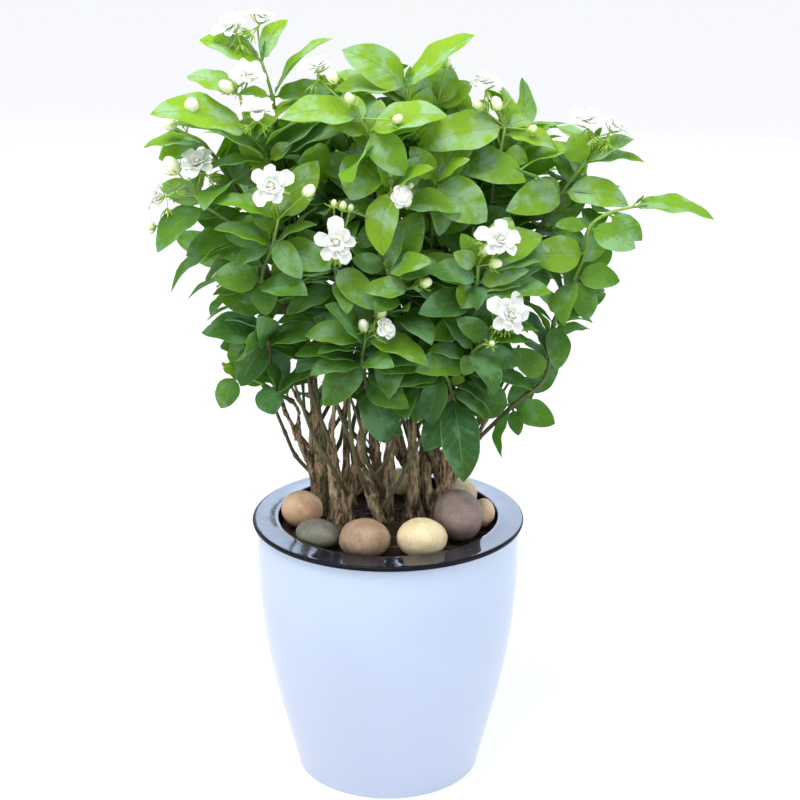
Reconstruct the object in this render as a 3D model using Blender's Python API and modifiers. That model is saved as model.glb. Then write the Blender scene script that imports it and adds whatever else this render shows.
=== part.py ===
"""A potted double jasmine: a white cache pot, its black inner pot, soil, stones and the shrub.

Metres, +Z up. The origin is the centre of the pot's flat underside, and -Y is the front.
The shrub's layout was surveyed from the front: every joint, leaf tip and bloom is written as
x and z in centimetres, as seen from SURVEY_EYE on the upright plane through the pot's axis,
with its depth y in front of (-) or behind (+) that plane.
"""

import math
import random

import bmesh
import bpy
from mathutils import Matrix, Vector
from mathutils.bvhtree import BVHTree

CM = 0.01
GAP = 0.0003
SURVEY_EYE = Vector((0.0, -1.6, 0.9))
UP = Vector((0.0, 0.0, 1.0))
CROWN_CENTRE = Vector((0.0, 0.01, 0.50))

# Pot and inner pot
POT_HEIGHT = 0.2546
POT_FOOT_RADIUS = 0.0885
POT_TOP_RADIUS = 0.1259
POT_SWELL_HEIGHT = 0.2235
POT_WALL = 0.003
POT_FOOT_ROUND = 0.003
RIM_RADIUS = 0.130
RIM_INNER_RADIUS = 0.105
RIM_TOP = 0.2591
RIM_INNER_RISE = 0.0008
RIM_WALL_RADIUS = RIM_INNER_RADIUS - 0.0006
RIM_ROUND = 0.0012
INNER_POT_FLOOR = 0.075
INNER_POT_FLOOR_RADIUS = 0.088
INNER_POT_TOP_RADIUS = 0.1195
INNER_POT_WALL = 0.0025
TURNED_SIDES = 36

# Soil
SOIL_RING_TOP = 0.2465
SOIL_SHOULDER = 0.004
SOIL_MOUND_TOP = 0.2520
SOIL_MOUND_RADIUS = 0.036
SOIL_MOUND_FOOT = 0.054
SOIL_HOLE_DEPTH = 0.030

# Stones: centre x and y in cm, then half sizes in cm along, across and up, and a turn in degrees
STONES = (
    ("stone_tan_left", -8.3, -0.4, 2.15, 2.05, 1.80, 70),
    ("stone_grey_left", -6.8, -5.4, 2.40, 1.70, 1.35, -38),
    ("stone_brown_front", -1.95, -7.9, 2.45, 2.15, 1.95, 5),
    ("stone_cream_front", 2.97, -7.6, 2.38, 2.10, 1.85, 0),
    ("stone_purple_right", 6.7, -3.9, 2.85, 2.25, 2.50, -75),
    ("stone_cream_right", 7.0, 4.1, 2.20, 1.60, 1.60, 60),
    ("stone_orange_right", 9.2, -0.3, 1.35, 1.05, 1.40, 85),
    ("stone_tan_back", -8.5, 3.8, 1.10, 0.80, 1.00, 60),
    ("stone_cream_back", 1.4, 8.4, 1.50, 1.30, 1.40, 0),
    ("stone_grey_back", 4.9, 7.1, 1.45, 1.15, 1.15, 30),
    ("stone_brown_back", -2.2, 8.5, 1.80, 1.35, 1.30, -10),
    ("stone_purple_back", -5.5, 7.2, 1.25, 0.95, 0.95, -40),
)

STONE_UNEVEN = 0.12
STONE_START = 0.97
STONE_STEP = 0.0002

# Woody stems, root to top: x, y and z in cm, and the radius in mm. The first list of each is
# the stem that stands in the soil, and the others fork from it.
TRUNKS = {
    "trunk_left": (
        ((-6.2, 4.4, 22.4, 7.8), (-6.2, 4.4, 26.5, 7.0), (-6.5, 3.4, 30.5, 5.4), (-7.0, 2.2, 35.5, 3.6)),
        ((-6.5, 4.4, 25.8, 3.4), (-7.1, 4.0, 28.5, 2.9), (-8.4, 3.0, 32.0, 2.6)),
        ((-6.6, 4.5, 25.4, 4.8), (-7.3, 4.6, 29.4, 4.6), (-7.3, 4.2, 33.6, 3.4)),
        ((-6.4, 3.1, 31.6, 2.6), (-7.7, 2.6, 35.0, 2.3), (-9.4, 1.8, 38.6, 2.0)),
    ),
    "trunk_front_left": (
        ((-4.5, -0.4, 22.4, 7.5), (-4.6, -0.4, 26.0, 6.8), (-5.1, -0.2, 30.0, 5.2), (-5.4, -0.6, 34.5, 3.6)),
        ((-4.3, -0.3, 25.4, 5.4), (-3.4, 0.6, 28.4, 5.4), (-2.7, 0.4, 31.8, 4.6), (-2.2, -0.4, 36.5, 3.4)),
        ((-2.8, 0.3, 31.2, 4.0), (-2.0, -0.8, 29.4, 4.0), (-1.4, -1.2, 27.6, 4.0), (-1.0, -1.4, 25.7, 3.8)),
        ((-4.4, 0.0, 27.0, 2.6), (-4.0, 1.0, 31.0, 2.3), (-4.1, 1.4, 37.5, 1.9)),
    ),
    "trunk_middle": (
        ((-0.3, 0.2, 22.4, 7.0), (-0.2, 0.2, 26.6, 6.2), (0.1, 0.4, 30.5, 4.8), (0.5, 1.2, 36.0, 3.4)),
        ((-0.2, 0.3, 26.4, 4.4), (-1.1, 1.8, 29.5, 3.9), (-1.6, 3.4, 34.0, 3.2)),
        ((-0.4, 0.5, 27.2, 2.8), (-1.0, 1.0, 31.0, 2.4), (-1.2, 1.2, 38.0, 1.9)),
    ),
    "trunk_right_middle": (
        ((2.4, 0.6, 22.4, 7.0), (2.5, 0.6, 26.4, 5.8), (2.4, 0.4, 31.5, 4.6), (2.2, -0.2, 37.5, 3.5)),
    ),
    "trunk_right": (
        ((4.5, 1.7, 22.4, 7.0), (4.5, 1.7, 26.0, 6.2), (5.6, 1.3, 28.4, 5.2), (5.7, 0.6, 32.0, 4.4),
         (6.0, 0.0, 38.5, 3.5)),
        ((4.4, 1.6, 25.4, 4.4), (3.8, 1.1, 28.0, 3.7), (3.6, 1.0, 30.8, 3.5)),
        ((5.2, 1.6, 27.0, 2.6), (4.4, 2.3, 31.0, 2.3), (4.4, 2.1, 38.0, 1.9)),
    ),
    "trunk_back": (
        ((3.4, 5.6, 22.4, 6.6), (3.4, 5.6, 26.0, 6.0), (4.0, 5.4, 31.0, 4.8), (3.6, 5.2, 36.5, 3.6)),
        ((3.4, 5.5, 26.6, 4.8), (1.2, 5.9, 30.0, 4.0), (-0.6, 6.0, 35.0, 3.4)),
    ),
}

# Leafy stems. branch: the trunk, the stem of it and the joint there that the stem grows from.
# stem: joints x, z, y in cm. leaves: joint, tip x, tip z, how far the tip comes forward, and
# the width that shows from the front. buds: joint, x, z, forward and diameter. twigs: joint
# and further joints x, z, y; their joints are counted on from the stem's.
SPRAYS = {
    "spray_slender_left": dict(
        branch=("trunk_left", 1, 2),
        stem=((-11.2, 43.0, -3.5), (-11.6, 49.0, -5.0), (-10.6, 52.2, -6.5), (-10.0, 54.8, -7.0)),
        leaves=((0, -17.3, 44.2, 1.0, 2.3), (0, -13.9, 38.8, 1.5, 2.8), (0, -8.7, 42.7, 0.5, 0.9),
                (0, -11.9, 45.4, 1.0, 0.9), (1, -16.1, 49.4, 1.0, 2.7), (1, -11.3, 45.7, 2.0, 2.2),
                (2, -5.2, 50.2, 0.5, 2.8), (2, -14.2, 50.5, 1.0, 1.3), (2, -15.8, 54.1, 1.0, 1.3),
                (3, -6.3, 60.1, 1.0, 2.8), (3, -15.8, 56.6, 1.0, 1.4)),
        buds=((3, -7.2, 57.4, 1.2, 1.1),),
    ),
    "spray_slender_right": dict(
        branch=("trunk_right", 0, 2),
        stem=((8.6, 33.6, -1.0), (11.7, 36.8, -2.5), (14.8, 39.8, -3.0), (15.4, 45.0, -3.5),
              (17.2, 49.3, -3.5), (18.1, 51.6, -3.5), (18.4, 54.0, -3.5), (20.0, 55.3, -3.5),
              (22.2, 55.9, -3.5)),
        leaves=((1, 6.0, 38.2, 0.5, 3.4), (1, 15.8, 35.1, 1.5, 2.5), (1, 10.6, 31.7, 1.0, 1.0),
                (1, 12.4, 33.9, 1.5, 1.4), (2, 11.5, 42.4, 1.0, 2.3), (3, 15.9, 40.4, 1.2, 2.2),
                (4, 21.4, 49.0, 0.5, 2.3), (4, 18.6, 45.2, 1.0, 2.4), (4, 16.2, 44.8, 1.6, 1.8),
                (5, 12.9, 51.5, 1.5, 3.2), (6, 22.7, 52.1, 1.5, 2.4), (6, 15.3, 54.3, 0.5, 1.2),
                (7, 23.3, 52.8, 0.5, 1.8), (8, 29.8, 55.1, 0.0, 1.5)),
        buds=(),
    ),
    "spray_low_left": dict(
        branch=("trunk_left", 1, 2),
        stem=((-9.2, 37.4, 0.0), (-10.4, 38.1, -1.5), (-11.9, 39.1, -2.5), (-14.2, 40.0, -3.0)),
        leaves=((2, -10.7, 36.0, 1.0, 2.6), (3, -15.8, 36.6, 1.0, 2.2), (1, -11.3, 40.8, 0.4, 0.9)),
        buds=(),
    ),
    "spray_low_middle": dict(
        branch=("trunk_front_left", 1, 3),
        stem=((-2.0, 38.8, -3.5), (-2.4, 41.3, -5.5), (-2.1, 43.4, -6.5)),
        leaves=((2, -7.7, 43.9, 1.0, 2.1), (2, 3.8, 41.0, 1.8, 1.9), (1, 4.6, 41.3, 0.0, 3.0),
                (1, -5.9, 36.9, 1.5, 3.1), (0, -0.2, 33.1, 1.5, 3.7)),
        buds=((2, -0.4, 44.3, 1.6, 1.9), (2, -2.3, 44.7, 0.8, 1.1), (2, -0.6, 45.8, 0.6, 0.9)),
    ),
    "spray_low_right": dict(
        branch=("trunk_right", 0, 4),
        stem=((6.2, 37.4, -4.0), (5.6, 39.4, -5.0), (4.9, 40.6, -5.6)),
        leaves=((0, 7.4, 29.2, 1.8, 3.6), (0, 3.4, 32.3, 1.0, 2.7), (1, 1.2, 39.0, 1.0, 1.5),
                (1, 7.2, 39.4, 1.0, 0.9)),
        buds=(),
    ),
    "spray_right_front_low": dict(
        branch=("trunk_right", 0, 4),
        stem=((7.0, 40.0, -4.0), (8.0, 42.2, -6.0), (9.5, 43.3, -7.0)),
        leaves=((1, 5.1, 45.9, 0.3, 1.8), (1, 12.3, 40.9, 1.0, 2.1), (1, 7.1, 39.9, 0.8, 1.6),
                (2, 6.4, 45.3, 1.0, 1.9), (2, 12.8, 43.2, 0.8, 0.8)),
        buds=((2, 9.7, 43.0, 1.2, 0.6),),
    ),
    "spray_right_front": dict(
        branch=("trunk_right", 0, 4),
        stem=((6.4, 43.5, -3.0), (7.7, 46.0, -5.0), (8.2, 48.7, -6.5), (8.3, 50.4, -7.0)),
        leaves=((2, 12.9, 50.1, 1.0, 1.9), (2, 5.3, 50.3, 1.2, 1.4), (3, 6.7, 53.4, 0.3, 1.6),
                (3, 6.1, 51.6, 1.0, 1.6), (2, 6.8, 46.4, 1.5, 2.4), (2, 8.2, 46.3, 1.6, 0.9),
                (1, 3.1, 48.2, 0.5, 2.0), (1, 10.3, 46.9, 0.5, 1.0)),
        buds=((3, 8.8, 51.8, 0.6, 0.9), (3, 9.9, 50.6, 1.0, 1.0)),
    ),
    "spray_centre": dict(
        branch=("trunk_right_middle", 0, 3),
        stem=((0.8, 45.5, -3.5), (0.6, 48.0, -5.5), (-0.1, 50.1, -6.5)),
        twigs=((1, (2.2, 48.3, -7.0)),),
        leaves=((2, 4.7, 50.5, 1.0, 2.2), (2, -3.3, 51.1, 0.8, 1.7), (3, -2.3, 48.2, 1.0, 1.8),
                (0, 1.0, 42.6, 0.6, 2.6)),
        buds=((3, 3.5, 48.8, 0.8, 1.0),),
    ),
    "spray_centre_left": dict(
        branch=("trunk_front_left", 0, 3),
        stem=((-3.6, 45.0, -3.0), (-4.6, 48.2, -5.0), (-4.9, 50.3, -6.0)),
        leaves=((2, -1.3, 46.3, 1.8, 2.5), (2, -8.4, 53.8, 0.3, 2.0), (1, -9.6, 46.0, 0.8, 1.8),
                (0, -1.9, 46.0, -0.5, 1.8)),
        buds=(),
    ),
    "spray_middle": dict(
        branch=("trunk_middle", 0, 3),
        stem=((0.4, 50.5, -3.0), (0.4, 54.5, -5.0), (0.3, 57.7, -6.5)),
        leaves=((2, -0.6, 51.4, 2.0, 2.8), (1, -3.0, 52.2, 1.0, 2.0), (1, 3.2, 52.0, 0.5, 1.8),
                (0, -3.6, 54.6, 0.6, 1.7)),
        buds=((2, 1.1, 56.8, 1.6, 1.9), (2, 1.9, 57.8, 0.4, 0.7), (2, 0.3, 59.0, 0.5, 0.7)),
    ),
    "spray_middle_right": dict(
        branch=("trunk_right_middle", 0, 3),
        stem=((4.0, 49.0, -1.5), (4.0, 53.5, -3.0), (4.2, 58.2, -4.5)),
        leaves=((2, 9.0, 54.6, 2.0, 3.8), (2, 4.8, 53.2, 1.5, 2.1), (2, 2.0, 61.4, 0.5, 2.0),
                (1, 8.6, 50.4, 0.5, 2.0), (1, 0.8, 56.0, 0.4, 1.6)),
        buds=(),
    ),
    "spray_top_middle": dict(
        branch=("trunk_middle", 0, 3),
        stem=((-1.2, 56.0, -2.5), (-1.5, 60.9, -5.0), (-1.8, 62.8, -6.0), (-2.5, 64.0, -6.3)),
        leaves=((1, -3.4, 56.6, 2.5, 3.8), (2, 1.5, 58.8, 2.0, 2.9), (2, 5.3, 64.4, 1.0, 2.3),
                (3, -9.6, 64.2, 1.2, 2.4), (0, -5.6, 59.2, 0.4, 1.8)),
        buds=((3, -3.4, 65.7, 0.8, 1.0), (3, 0.8, 63.9, 1.5, 0.9)),
    ),
    "spray_top_left": dict(
        branch=("trunk_left", 0, 3),
        stem=((-7.4, 53.5, -0.5), (-9.6, 60.8, -1.5), (-10.3, 65.8, -2.0), (-11.2, 69.0, -2.2)),
        leaves=((2, -5.2, 71.3, 1.0, 2.2), (2, -5.0, 66.5, -0.5, 1.7), (3, -16.6, 71.1, 0.5, 2.0),
                (3, -9.0, 72.7, 0.8, 1.5), (1, -5.3, 62.5, 0.0, 2.0), (2, -13.3, 66.3, 0.4, 0.9),
                (0, -3.2, 56.6, -0.5, 2.0)),
        buds=(),
    ),
    "spray_upper_left": dict(
        branch=("trunk_left", 0, 3),
        stem=((-8.8, 52.5, -2.0), (-10.8, 60.1, -4.0), (-12.5, 62.7, -4.6), (-13.2, 66.0, -4.6)),
        leaves=((1, -19.3, 63.9, 1.5, 1.9), (1, -8.7, 61.7, 1.0, 1.1), (2, -21.1, 64.7, 0.5, 1.6),
                (3, -17.9, 67.9, 0.8, 1.7), (0, -14.4, 54.6, 0.0, 1.8)),
        buds=((3, -14.4, 66.8, 0.6, 1.2),),
    ),
    "spray_far_left": dict(
        branch=("trunk_left", 0, 3),
        stem=((-11.0, 52.0, -1.0), (-14.0, 58.0, -3.0), (-16.5, 61.6, -4.0), (-18.1, 62.6, -4.2)),
        leaves=((2, -22.0, 61.6, 0.3, 1.1), (2, -20.8, 60.4, 1.4, 1.9), (1, -16.4, 55.4, 0.6, 1.2),
                (1, -10.0, 62.3, 0.0, 1.5)),
        buds=((3, -17.6, 65.0, 0.4, 1.5), (3, -19.7, 63.5, 0.4, 1.3)),
    ),
    "spray_left": dict(
        branch=("trunk_left", 0, 3),
        stem=((-10.4, 48.0, -2.0), (-13.2, 53.4, -4.0), (-16.6, 56.0, -5.0), (-17.5, 57.0, -5.2)),
        leaves=((2, -21.3, 51.8, 1.5, 2.3), (2, -20.5, 58.2, 0.3, 1.8), (3, -16.5, 59.8, 0.2, 1.1),
                (1, -18.6, 51.5, 0.8, 2.2), (1, -20.3, 48.3, 0.0, 1.2)),
        buds=((2, -19.5, 59.7, 0.4, 1.5), (2, -21.6, 54.0, 0.2, 0.7)),
    ),
    "spray_top_right": dict(
        branch=("trunk_right_middle", 0, 3),
        stem=((2.2, 57.0, -0.5), (2.0, 62.0, -1.5), (1.7, 66.6, -2.0)),
        leaves=((2, -4.0, 70.1, 0.5, 3.2), (2, 7.4, 71.6, 0.3, 1.9), (2, -4.9, 66.7, 0.0, 1.7),
                (1, 6.2, 61.6, 1.0, 1.7), (0, 7.4, 58.4, -0.5, 2.2)),
        buds=(),
    ),
    "spray_upper_right": dict(
        branch=("trunk_right", 0, 4),
        stem=((6.6, 53.0, 0.0), (5.6, 60.6, -1.2), (4.3, 64.7, -1.2)),
        leaves=((2, 4.6, 69.2, -1.5, 4.2), (1, 12.5, 58.4, 3.0, 3.0), (2, 7.5, 67.2, -1.0, 2.0),
                (0, 11.2, 55.4, 0.6, 2.2)),
        buds=((2, 5.9, 63.8, 0.8, 0.9), (2, 5.2, 68.8, 0.8, 0.8)),
    ),
    "spray_right_high": dict(
        branch=("trunk_right", 0, 4),
        stem=((9.0, 52.0, 0.0), (9.6, 58.5, -1.6), (10.1, 60.9, -2.2), (10.5, 63.2, -2.4)),
        leaves=((3, 2.6, 61.6, 1.6, 1.9), (3, 12.1, 62.7, 0.4, 1.2), (2, 12.6, 60.1, 0.8, 1.8),
                (3, 13.0, 63.9, -0.2, 1.1), (1, 17.4, 61.6, 0.0, 1.5), (1, 15.4, 56.4, 0.4, 1.6)),
        buds=((3, 8.1, 65.1, 0.5, 0.9), (3, 9.7, 65.3, 0.4, 1.1), (3, 12.9, 63.0, 0.6, 0.8)),
    ),
    "spray_far_right": dict(
        branch=("trunk_back", 0, 3),
        stem=((11.5, 50.0, 0.5), (15.8, 57.3, -1.5), (17.6, 59.8, -2.0), (18.3, 61.8, -2.0)),
        leaves=((2, 22.0, 62.3, 0.0, 1.6), (2, 23.1, 60.3, 0.0, 1.0), (2, 16.6, 62.6, 0.3, 2.2),
                (1, 21.9, 56.2, 1.2, 2.6), (1, 10.9, 55.6, 1.5, 2.9), (1, 13.8, 58.6, 0.0, 1.2)),
        buds=(),
    ),
}

# Open flowers: leafy stem and joint they hang on, x, z, how far forward, the way they face,
# and the radius in cm
BLOOMS = {
    "bloom_top_left": ("spray_top_left", 3, -13.8, 72.2, 0.5, (-0.5, -0.4, 0.9), 1.50),
    "bloom_top_left_tip": ("spray_top_left", 3, -11.2, 73.0, -0.6, (0.2, -0.1, 1.0), 1.30),
    "bloom_upper_left": ("spray_upper_left", 3, -12.4, 68.0, 0.2, (0.2, -0.5, 0.9), 1.40),
    "bloom_left_side": ("spray_upper_left", 2, -11.8, 64.7, 2.4, (0.1, -0.5, 1.0), 1.70),
    "bloom_left": ("spray_left", 3, -17.2, 59.9, 0.8, (-0.1, -0.5, 0.9), 1.50),
    "bloom_far_left": ("spray_left", 3, -21.0, 57.0, 0.2, (-1.0, -0.3, 0.2), 1.35),
    "bloom_double": ("spray_slender_left", 3, -10.6, 57.9, 2.0, (0.0, -1.0, 0.35), 1.75),
    "bloom_open": ("spray_centre_left", 2, -4.8, 52.6, 2.6, (0.1, -1.0, 0.3), 1.75),
    "bloom_behind": ("spray_top_middle", 3, -6.3, 68.7, -1.5, (-0.2, -0.3, 1.0), 1.30),
    "bloom_right_side": ("spray_right_high", 3, 8.7, 67.3, -0.4, (-0.1, -0.3, 1.0), 1.30),
    "bloom_right_front": ("spray_right_front", 3, 10.2, 52.9, 1.6, (0.3, -1.0, 0.5), 1.70),
    "bloom_right_low": ("spray_right_front_low", 2, 11.3, 45.7, 2.2, (0.4, -1.0, 0.35), 1.85),
    "bloom_far_right": ("spray_far_right", 3, 17.8, 63.9, 0.3, (-0.2, -0.4, 1.0), 1.45),
    "bloom_far_right_tip": ("spray_far_right", 3, 20.4, 63.3, 0.3, (0.6, -0.2, 0.8), 1.35),
}

# Leafy branches of the sides and the back, made by a rule: the trunk they grow from, the
# compass angle (90 is straight back), and the height and the reach of their tip in cm
BACK_SPRAYS = {
    "spray_back_right": (("trunk_back", 0, 3), 24, 60, 12.5),
    "spray_back_middle_right": (("trunk_back", 0, 3), 58, 62, 7.5),
    "spray_back_middle": (("trunk_back", 1, 2), 88, 57, 12.5),
    "spray_back_middle_left": (("trunk_back", 1, 2), 124, 61, 7.0),
    "spray_back_left": (("trunk_middle", 1, 2), 156, 59, 12.5),
}
BACK_MIDDLE = Vector((0.0, 0.02, 0.0))
BACK_JOINTS = 5
BACK_START = (4.5, 42.0)
BACK_SAG = 1.4
BACK_TWIGS = ((1, 1), (2, -1))
BACK_TWIG = 5.0
BACK_TWIG_LEAN = (0.75, 0.25)
BACK_TWIG_END = 0.55
BACK_LEAF_LEAN = (0.8, 0.45, 0.5, -0.1)
BACK_LEAF_LENGTHS = (5.4, 7.4)
INNER_JOINTS = 2
INNER_LOWEST_TIP = 0.40

# Growing sizes
LEAF_THICKNESS = 0.0012
LEAF_ROOT = 0.0011
LEAF_WIDTH_RATIO = 0.50
LEAF_ARCH = 0.07
LEAF_FOLD = 0.22
LEAF_LEAN_OUT = 0.55
LEAF_ROOT_SHARE = 0.14
SEEN_MARGIN = 1.04
MOST_FACE_ON = 0.97
PETIOLE = 0.005
BLADE_STATIONS = (0.30, 0.70)
WOOD_TIP_RADIUS = 0.0022
WOOD_FORK_RADIUS = 0.0034
STEM_SLIDES = (0.0, 0.5, -0.5, 1.0, -1.0, 1.5, -1.5, 2.2, -2.2)
BULGES = (1.0, 2.0, 3.2)
STEM_RADII = (0.0021, 0.0013)
STALK_RADIUS = 0.0008
STALK_STRAIGHT = 0.006
CLEARANCE = 0.0006
STEM_RESOLUTION = 0
TRUNK_RESOLUTION = 1
BRANCH_POINTS = 4
STEM_TIP = 0.0015
JOINT_GAP = 0.0006
STRAIGHT_END = 0.005
FIRST_LEAF = 0.0025
SHORTEST_EDGE = 0.0006
STEADIEST_TURN = 0.6
BLOOM_TUBE = 0.008
BLOOM_TUBE_RADII = (0.0011, 0.0030)
PETAL_THICKNESS = 0.0008
PETAL_SECTIONS = ((0.0, 0.11), (0.58, 1.0), (1.0, 0.42))
PETAL_TWIST = 15
# Rows of petals: how many, size, rise in degrees, half width, turn, then the root's
# height over the tube's top and its distance from the middle in mm
PETAL_ROWS = ((6, 1.00, 12, 0.42, 0.0, -1.4, 1.6), (3, 0.64, 55, 0.44, 0.25, -0.6, 0.8))
SEED = 11

GREEN = (0.10, 0.30, 0.03)
WHITE = (0.93, 0.93, 0.88)
BARK = (0.20, 0.13, 0.08)
STONE_COLOURS = {
    "tan": (0.50, 0.30, 0.17),
    "grey": (0.20, 0.19, 0.15),
    "brown": (0.33, 0.22, 0.14),
    "cream": (0.70, 0.56, 0.34),
    "purple": (0.19, 0.14, 0.13),
    "orange": (0.58, 0.33, 0.19),
}


def material(name, colour, roughness, metallic=0.0):
    made = bpy.data.materials.new(name)
    made.use_nodes = True
    shader = made.node_tree.nodes["Principled BSDF"]
    shader.inputs["Base Color"].default_value = (*colour, 1.0)
    shader.inputs["Roughness"].default_value = roughness
    shader.inputs["Metallic"].default_value = metallic
    return made


def new_object(name, mesh, collection, finish=None):
    made = bpy.data.objects.new(name, mesh)
    collection.objects.link(made)
    if finish:
        mesh.materials.clear()
        mesh.materials.append(finish)
    return made


def new_collection(name):
    made = bpy.data.collections.new(name)
    bpy.context.scene.collection.children.link(made)
    return made


def remove_objects(objects):
    for each in list(objects):
        bpy.data.objects.remove(each, do_unlink=True)


def evaluated_mesh(source):
    """The mesh that an object shows with its modifiers or its curve's bevel."""
    graph = bpy.context.evaluated_depsgraph_get()
    return bpy.data.meshes.new_from_object(source.evaluated_get(graph))


def turned(name, profile, collection, finish, sides=TURNED_SIDES):
    """A solid turned round Z. The profile runs from the axis up the inside and down the outside."""
    mesh = bpy.data.meshes.new(name)
    points = [(radius, 0.0, height) for radius, height in profile]
    mesh.from_pydata(points, [(i, i + 1) for i in range(len(points) - 1)], [])
    made = new_object(name, mesh, collection, finish)
    screw = made.modifiers.new("turn", "SCREW")
    screw.steps = sides
    screw.render_steps = sides
    screw.use_merge_vertices = True
    screw.merge_threshold = 0.00001
    return made


def pot_radius(height):
    swell = math.sin(math.pi / 2 * min(height / POT_SWELL_HEIGHT, 1.0))
    return POT_FOOT_RADIUS + (POT_TOP_RADIUS - POT_FOOT_RADIUS) * swell


def make_pot(collection, finish):
    heights = [POT_SWELL_HEIGHT * share for share in (1.0, 0.78, 0.56, 0.34, 0.15)]
    profile = [(0.0, POT_WALL), (pot_radius(POT_WALL) - POT_WALL, POT_WALL)]
    profile += [(pot_radius(height) - POT_WALL, height) for height in reversed(heights)]
    profile += [(POT_TOP_RADIUS - POT_WALL, POT_HEIGHT), (POT_TOP_RADIUS, POT_HEIGHT)]
    profile += [(pot_radius(height), height) for height in heights]
    profile += [
        (pot_radius(POT_FOOT_ROUND), POT_FOOT_ROUND),
        (POT_FOOT_RADIUS - POT_FOOT_ROUND * 0.8, 0.0),
        (0.0, 0.0),
    ]
    return turned("pot", profile, collection, finish)


def make_inner_pot(collection, finish):
    lip_under = POT_HEIGHT + GAP
    inner_edge = RIM_TOP + RIM_INNER_RISE
    profile = [
        (0.0, INNER_POT_FLOOR + INNER_POT_WALL),
        (INNER_POT_FLOOR_RADIUS - INNER_POT_WALL, INNER_POT_FLOOR + INNER_POT_WALL),
        (RIM_WALL_RADIUS, SOIL_RING_TOP - SOIL_SHOULDER),
        (RIM_INNER_RADIUS, inner_edge - RIM_ROUND),
        (RIM_INNER_RADIUS + RIM_ROUND, inner_edge),
        (RIM_RADIUS - 0.0030, RIM_TOP),
        (RIM_RADIUS - 0.0006, RIM_TOP - 0.0010),
        (RIM_RADIUS, RIM_TOP - 0.0022),
        (RIM_RADIUS - 0.0010, lip_under),
        (INNER_POT_TOP_RADIUS, lip_under),
        (INNER_POT_FLOOR_RADIUS, INNER_POT_FLOOR),
        (0.0, INNER_POT_FLOOR),
    ]
    return turned("inner_pot", profile, collection, finish)


def soil_wall_radius(height):
    """The soil's side, a hair inside the inner pot's sloping wall."""
    floor = INNER_POT_FLOOR + INNER_POT_WALL
    share = (height - floor) / (SOIL_RING_TOP - SOIL_SHOULDER - floor)
    low = INNER_POT_FLOOR_RADIUS - INNER_POT_WALL
    high = RIM_WALL_RADIUS
    return low + (high - low) * min(share, 1.0) - 2 * GAP


def make_soil(collection, cutters, finish):
    floor = INNER_POT_FLOOR + INNER_POT_WALL + GAP
    ring = SOIL_RING_TOP
    profile = [
        (0.0, SOIL_MOUND_TOP),
        (SOIL_MOUND_RADIUS, SOIL_MOUND_TOP),
        (SOIL_MOUND_FOOT, ring),
        (soil_wall_radius(ring), ring),
        (soil_wall_radius(ring - SOIL_SHOULDER), ring - SOIL_SHOULDER),
        (soil_wall_radius(floor), floor),
        (0.0, floor),
    ]
    soil = turned("soil", profile, collection, finish)
    for name, stems in TRUNKS.items():
        x, y, _, radius = stems[0][0]
        hole = bpy.data.meshes.new(name + "_hole")
        shape = bmesh.new()
        bmesh.ops.create_cone(
            shape, cap_ends=True, segments=12, radius1=radius / 1000 + 2 * GAP,
            radius2=radius / 1000 + 2 * GAP, depth=2 * SOIL_HOLE_DEPTH,
            matrix=Matrix.Translation((x * CM, y * CM, SOIL_MOUND_TOP)),
        )
        shape.to_mesh(hole)
        shape.free()
        cutter = new_object(name + "_hole", hole, cutters)
        cutter.hide_render = True
        cutter.display_type = "WIRE"
        cut = soil.modifiers.new(name, "BOOLEAN")
        cut.operation = "DIFFERENCE"
        cut.object = cutter
    return soil


def mesh_parts(mesh):
    """The corners and faces of a mesh, for clearance tests."""
    corners = [vertex.co.copy() for vertex in mesh.vertices]
    faces = [tuple(face.vertices) for face in mesh.polygons]
    return corners, faces


class Thicket:
    """Everything grown so far, and whether something new would cross it."""

    def __init__(self):
        self.grown = []

    def add(self, owner, corners, faces):
        low, high = corner_box(corners)
        self.grown.append((owner, low, high, BVHTree.FromPolygons(corners, faces)))

    def clear(self, corners, faces, skip=()):
        low, high = corner_box(corners)
        tree = None
        for owner, other_low, other_high, other in self.grown:
            if owner in skip:
                continue
            if any(low[i] > other_high[i] or high[i] < other_low[i] for i in range(3)):
                continue
            tree = tree or BVHTree.FromPolygons(corners, faces)
            if tree.overlap(other):
                return False
        return True


def corner_box(corners):
    low = [min(corner[i] for corner in corners) for i in range(3)]
    high = [max(corner[i] for corner in corners) for i in range(3)]
    return low, high


def along_sight(x, z, y):
    """A surveyed point in metres: seen at x, z on the plane through the axis, at the depth y."""
    reach = (y * CM - SURVEY_EYE.y) / -SURVEY_EYE.y
    height = SURVEY_EYE.z + (z * CM - SURVEY_EYE.z) * reach
    return Vector((x * CM * reach, y * CM, height))


def leaf_outline(share):
    """Half width along a jasmine leaf's blade, 1 at its widest."""
    return (share ** 0.55) * ((1.0 - share) ** 0.75) / 0.4125 if 0.0 < share < 1.0 else 0.0


def blade_normal(base, tip, seen_share):
    """The blade's upper side, rolled until the front shows seen_share of its width."""
    chord = (tip - base).normalized()
    to_eye = (SURVEY_EYE - base).normalized()
    facing = (to_eye - chord * to_eye.dot(chord))
    most = facing.length
    facing.normalize()
    side = chord.cross(facing)
    cosine = min(seen_share / most, 1.0)
    sine = math.sqrt(1.0 - cosine * cosine)
    return max((facing * cosine + side * s for s in (sine, -sine)), key=lambda way: way.z)


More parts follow.
